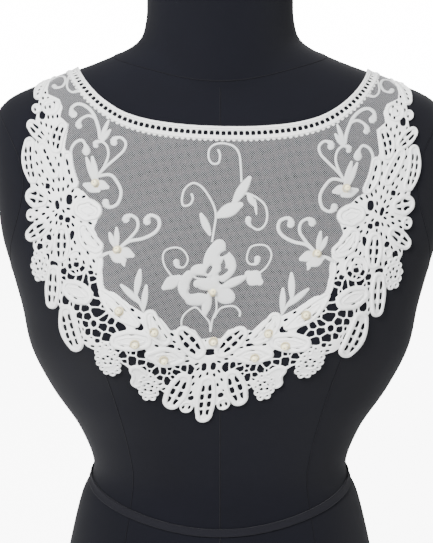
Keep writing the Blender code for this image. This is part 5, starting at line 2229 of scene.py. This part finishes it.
@dataclass
class Studio:
    """The camera, the pale floor and the soft light."""

    lens: float = 76.2
    sensor: float = 36.0
    camera_place: tuple[float, float, float] = (-0.003, -0.9848, 0.5446)
    pitch: float = 10.0
    sky: float = 0.26
    backdrop: float = 16.0
    glow: float = 8.0
    floor_size: float = 4.0
    aim_z: float = 0.38
    lamps: tuple[tuple[str, tuple[float, float, float], float, float], ...] = (
        ("key", (-0.62, -1.05, 1.22), 0.45, 50.0),
        ("fill", (0.95, -1.15, 1.35), 0.8, 22.0),
        ("top", (0.1, -0.3, 1.9), 1.0, 8.0),
        ("back", (0.6, 1.6, 1.4), 1.4, 16.0),
    )

    def floor_material(self) -> bpy.types.Material:
        """The pale floor, which glows a little towards the camera.

        Returns:
            The material.
        """
        recipe = Recipe("floor_white", {"Base Color": (0.93, 0.93, 0.93, 1.0), "Roughness": 0.8,
                                        "Emission Color": (1.0, 1.0, 1.0, 1.0)})
        glow = recipe.node("Math", {1: self.glow}, operation="MULTIPLY")
        recipe.link(recipe.node("LightPath").outputs["Is Camera Ray"], glow.inputs[0])
        recipe.link(glow.outputs[0], recipe.shader.inputs["Emission Strength"])
        return recipe.material

    def world(self) -> bpy.types.World:
        """A soft white sky, full white where the camera looks into it.

        Returns:
            The world.
        """
        world = bpy.data.worlds.new("studio")
        world.use_nodes = True
        tree = world.node_tree
        sky = tree.nodes["Background"]
        set_inputs(sky, {"Color": (1.0, 1.0, 1.0, 1.0)})
        rays = tree.nodes.new("ShaderNodeLightPath")
        bright = tree.nodes.new("ShaderNodeMapRange")
        set_inputs(bright, {"To Min": self.sky, "To Max": self.backdrop})
        tree.links.new(rays.outputs["Is Camera Ray"], bright.inputs["Value"])
        tree.links.new(bright.outputs[0], sky.inputs["Strength"])
        return world

    def build(self) -> None:
        """Build the floor, the lights and the camera."""
        body = bmesh.new()
        bmesh.ops.create_grid(body, x_segments=2, y_segments=2, size=self.floor_size)
        mesh = finished(body, "floor")
        mesh.materials.append(self.floor_material())
        floor = linked("floor", mesh)
        for name, place, size, power in self.lamps:
            light = bpy.data.lights.new(name, "AREA")
            light.energy = power
            light.size = size
            lamp = linked(name, light)
            lamp.location = place
            aim = Vector((0, 0, self.aim_z)) - Vector(place)
            lamp.rotation_euler = aim.to_track_quat("-Z", "Y").to_euler()
        bpy.context.scene.world = self.world()
        lens = bpy.data.cameras.new("camera")
        lens.lens = self.lens
        lens.sensor_width = self.sensor
        camera = linked("camera", lens)
        camera.location = self.camera_place
        camera.rotation_euler = (math.radians(90 - self.pitch), 0, 0)
        bpy.context.scene.camera = camera


@dataclass
class Yoke:
    """The whole object: the form and everything that lies on it."""

    shape: FormShape = FormShape()

    def build(self) -> None:
        """Build every piece in its place."""
        shell = Shell(self.shape)
        shop = Workshop(Drape(shell))
        DressForm(self.shape, shell).build(shop)
        GuipureBorder().build(shop)
        NeckBand().build(shop)
        NetInsert().build(shop)
        Embroidery().build(shop)
        Pearls().build(shop)


def main() -> None:
    """Build the object and its studio."""
    Yoke().build()
    Studio().build()


if __name__ == "__main__":
    main()
